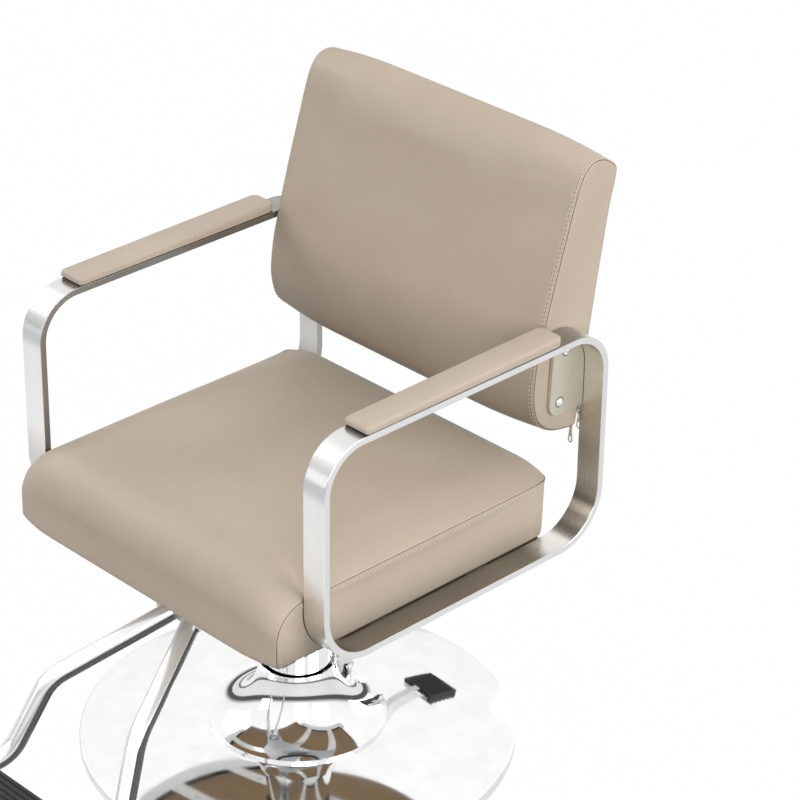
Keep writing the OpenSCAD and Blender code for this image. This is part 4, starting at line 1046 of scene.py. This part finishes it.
# Pump body: the rod's well, the plunger's barrel behind it and the web between them
rows, cu, cv = turned([(0, 33), (25.05, 33), (25.05, 266), (50, 266), (50, 25)] + arc(80, 23, 2, 90, 0, 4)
                      + [(82, 13), (0, 13)], 128, False)
barrel = turned([(0, 24), (8.05, 24), (8.05, 54)] + arc(15.5, 52.5, 1.5, 90, 0, 4) + [(17, 13), (0, 13)],
                72, False, 96)
web = [[(x * MM, y * MM, z * MM) for x, z in ((-8.5, 13), (8.5, 13), (8.5, 33), (-8.5, 33))]
       for y in (49, 84)]
dress(grid_object("pump_body", rows, CHROME, cu, cv, sharp=40, extra=(barrel, (web, False, True))),
      "base", "chrome", "pump_housing")

# Pump collar
rows, cu, cv = turned([(25.05, 266), (50, 266), (50, 252), (55, 252)] + arc(53.5, 270.5, 1.5, 0, 50, 4)
                      + arc(44.5, 276.5, 1.5, 50, 90, 4) + [(26, 278), (25.05, 277)], 96)
dress(grid_object("pump_top_collar", rows, PLASTIC, cu, cv, sharp=40), "base", "black_plastic", "pump_collar")

# Piston rod
rows, cu, cv = turned([(0, 39), (24, 39), (25, 40)] + arc(24.2, 285.2, 0.8, 0, 90, 3) + [(20, 286)]
                      + arc(19, 340, 1, 0, 90, 3) + [(0, 341)], 96, False)
dress(grid_object("lift_rod", rows, CHROME, cu, cv, sharp=40), "lift", "chrome", "piston_rod")


def shroud():
    """Bell over the pump's foot, with a slot for the pedal towards +Y."""
    half, cut, foot = 21.0, 114.0, 36.0       # half the slot's width, the heights of its top and foot
    middle_r, middle_z = 148, 130             # middle of the arcs of the bell's flank
    count, gap = 150, 12                      # steps round the bell, and over the slot

    def flank(radius):
        """Points (r, z) down the flank, with one at the height of the slot's top."""
        turns = [0, 3, 6, math.degrees(math.asin((middle_z - cut) / radius)), *np.linspace(14, 78, 20)]
        return [(middle_r - radius * math.cos(math.radians(t)), middle_z - radius * math.sin(math.radians(t)))
                for t in turns]

    def turn(point, line, over=False):
        """Points round the bell at one height, from one side of the slot to the other, or over it."""
        r, z = point
        a = math.asin(half / (r if z <= cut + 0.01 else line[3][0]))
        start, end, steps = (-a, a, gap) if over else (a, 2 * math.pi - a, count)
        return [(r * math.cos(q) * MM, r * math.sin(q) * MM, z * MM)
                for q in np.linspace(math.pi / 2 + start, math.pi / 2 + end, steps + 1)]

    outer, inner = flank(92), flank(94)
    outer.append((outer[-1][0], foot))
    inner.append((outer[-1][0] - 2.0, foot))
    rows = [turn(q, outer) for q in outer] + [turn(q, inner) for q in inner[::-1]]
    bridge = [turn(q, outer, True) for q in outer[3::-1]] + [turn(q, inner, True) for q in inner[:4]]
    walls = [([[turn(q, line)[j] for q in line[3:]] for line in (outer, inner)], False, False)
             for j in (0, count)]
    o = grid_object("pump_bell", rows, CHROME, True, False, sharp=40, extra=((bridge, True, False), *walls))
    dress(o, "base", "chrome", "pump_shroud")


shroud()


# Painted shadow: thin dark lines along the gusset plates' free edges, round their screws, and between seat
# and bar
PAINTED_SHADOW = dull("painted_gap_shadow", (0.03, 0.025, 0.02), (0.05, 0.04, 0.03), 0.8, 2000, 0.2, 0.05)
PLATE_X = 269.0                   # the plates' outer faces
PLATE_SCREWS, SCREW_SHADOW_RING = ((467, 216), (477, 291)), 7.35
LINE_R, SHADOW_RING_R = 0.00055, 0.0005   # in metres

for side, tag in SIDES:
    x = side * PLATE_X
    # painted shadow along the plate's free edge, where it meets the bar
    edge = [(x, y, z) for y, z in arc(457, 261, 57, 62, 0, 12)] + [(x, 514, z) for z in (245, 221, 197.2)]
    dress(tube(f"plate_joint_shadow_{tag}", to_frame(edge), LINE_R, PAINTED_SHADOW), "seat", "black_plastic")
    for k, (y, z) in enumerate(PLATE_SCREWS):
        # painted shadow ring round each screw head
        shadow_ring = [(x + side * 0.1, y + SCREW_SHADOW_RING * math.cos(a), z + SCREW_SHADOW_RING * math.sin(a))
               for a in np.linspace(0, 2 * math.pi, 33)]
        dress(tube(f"screw_shadow_ring_{tag}_{k}", to_frame(shadow_ring), SHADOW_RING_R, PAINTED_SHADOW), "seat", "black_plastic")
    # painted shadow where the bar's inner edge meets the seat's side
    front_bend = loop_stations()[0][75:88]
    gap = [(side * (INNER - 0.1), y, z) for y, z in np.vstack([[0, 104], front_bend])]
    dress(tube(f"bar_gap_shadow_{tag}", to_frame(gap), LINE_R, PAINTED_SHADOW), "seat", "black_plastic")

# Black cloth stapled under the seat, which also stands in for the shade in the slits beside the bottom bars,
# and a thin dark line of painted shade along both sides where the seat's lower edge meets the bars
CLOTH_SECTION = ((258, 10.4), (262.9, 10.4), (262.9, 5.5), (258, 5.5))
CLOTH_RUNS = ((44, 118.5), (161.5, 298.5), (341.5, 440))  # clear of the cross rails, in y
for side, tag in SIDES:
    strips = [to_frame([[(side * x, y, z) for x, z in CLOTH_SECTION] for y in run]) for run in CLOTH_RUNS]
    dress(grid_object(f"seat_dust_cloth_{tag}", strips[0], CLOTH, False, True,
                      extra=[(strip, False, True) for strip in strips[1:]]), "seat", "zip_tape")
    edge_shade = [(side * 263.2, y, 10.9) for y in np.linspace(-36, 441, 50)]
    dress(tube(f"seat_edge_shade_{tag}", to_frame(edge_shade), LINE_R, CLOTH), "seat", "zip_tape")


# Floor: white to the camera, bright to glossy rays, so that chrome shows the white room
FLOOR_GLOW, CAMERA_SHARE, GLOSSY_SHARE = 1.01, 0.98, 0.78
bpy.ops.mesh.primitive_plane_add(size=24, location=(0, 0, -0.0005))
floor = bpy.context.object
floor.name = "floor"
k = Mat("floor")
k.set(Base_Color=(0.12, 0.118, 0.115), Roughness=0.6)
path = k.node("LightPath")
glow = k.node("Emission", Color=(1, 1, 1, 1), Strength=FLOOR_GLOW)
mix = k.node("MixShader")
shiny = k.node("Math", operation="MULTIPLY")
shiny.inputs[1].default_value = GLOSSY_SHARE
k.link(path.outputs["Is Glossy Ray"], shiny.inputs[0])
amount = k.node("Math", operation="MULTIPLY_ADD")
amount.inputs[1].default_value = CAMERA_SHARE
k.link(path.outputs["Is Camera Ray"], amount.inputs[0])
k.link(shiny.outputs[0], amount.inputs[2])
k.link(amount.outputs[0], mix.inputs[0])
k.link(k.shader.outputs[0], mix.inputs[1])
k.link(glow.outputs[0], mix.inputs[2])
k.link(mix.outputs[0], k.tree.nodes["Material Output"].inputs["Surface"])
floor.data.materials.append(k.material)

# World: white to the camera, a soft sky for the light, a banded room for reflections
world = bpy.data.worlds.new("studio")
bpy.context.scene.world = world
k = Mat("studio", world)
sep = k.node("SeparateXYZ")
k.link(k.coord.outputs["Generated"], sep.inputs[0])
height = k.node("Math", operation="MULTIPLY_ADD")
height.inputs[1].default_value = 0.5
height.inputs[2].default_value = 0.5
k.link(sep.outputs["Z"], height.inputs[0])


def sky(stops):
    """Brightness from straight down, 0, to straight up, 1."""
    return k.ramp(height.outputs[0], [(at, (value, value * 0.995, value * 0.985)) for at, value in stops])


soft = sky([(0.60, 0.02), (0.75, 0.94)])
room = sky([(0.0, 0.8), (0.49, 0.8), (0.505, 0.10), (0.55, 0.10), (0.60, 1.04), (1.0, 1.15)])
ray = k.node("LightPath")
seen = k.mix(ray.outputs["Is Camera Ray"], k.mix(ray.outputs["Is Glossy Ray"], soft, room), (1.0, 1.0, 1.0))
k.link(seen, k.shader.inputs["Color"])
k.shader.inputs["Strength"].default_value = 1.0


# Lamps
def area(name, at, to, size, size_y, power):
    d = bpy.data.lights.new(name, "AREA")
    d.shape = "RECTANGLE"
    d.size, d.size_y, d.energy = size, size_y, power
    o = bpy.data.objects.new(name, d)
    o.location = at
    o.rotation_euler = (Vector(to) - Vector(at)).to_track_quat("-Z", "Y").to_euler()
    bpy.context.scene.collection.objects.link(o)


area("side", (3.2, 0.6, 1.7), (0, 0, 0.6), 2.0, 1.6, 62)
area("left", (-3.0, -0.8, 2.2), (0, 0, 0.6), 2.0, 1.6, 42)
area("near_side", (2.6, -1.8, 1.6), (0, 0, 0.6), 1.6, 1.6, 41)
area("front", (-1.6, -3.0, 0.9), (0, 0, 0.5), 1.6, 1.0, 9)
area("back", (-0.4, 3.2, 1.1), (0, 0, 0.6), 2.0, 1.2, 20)

bpy.context.scene.view_settings.view_transform = "Standard"
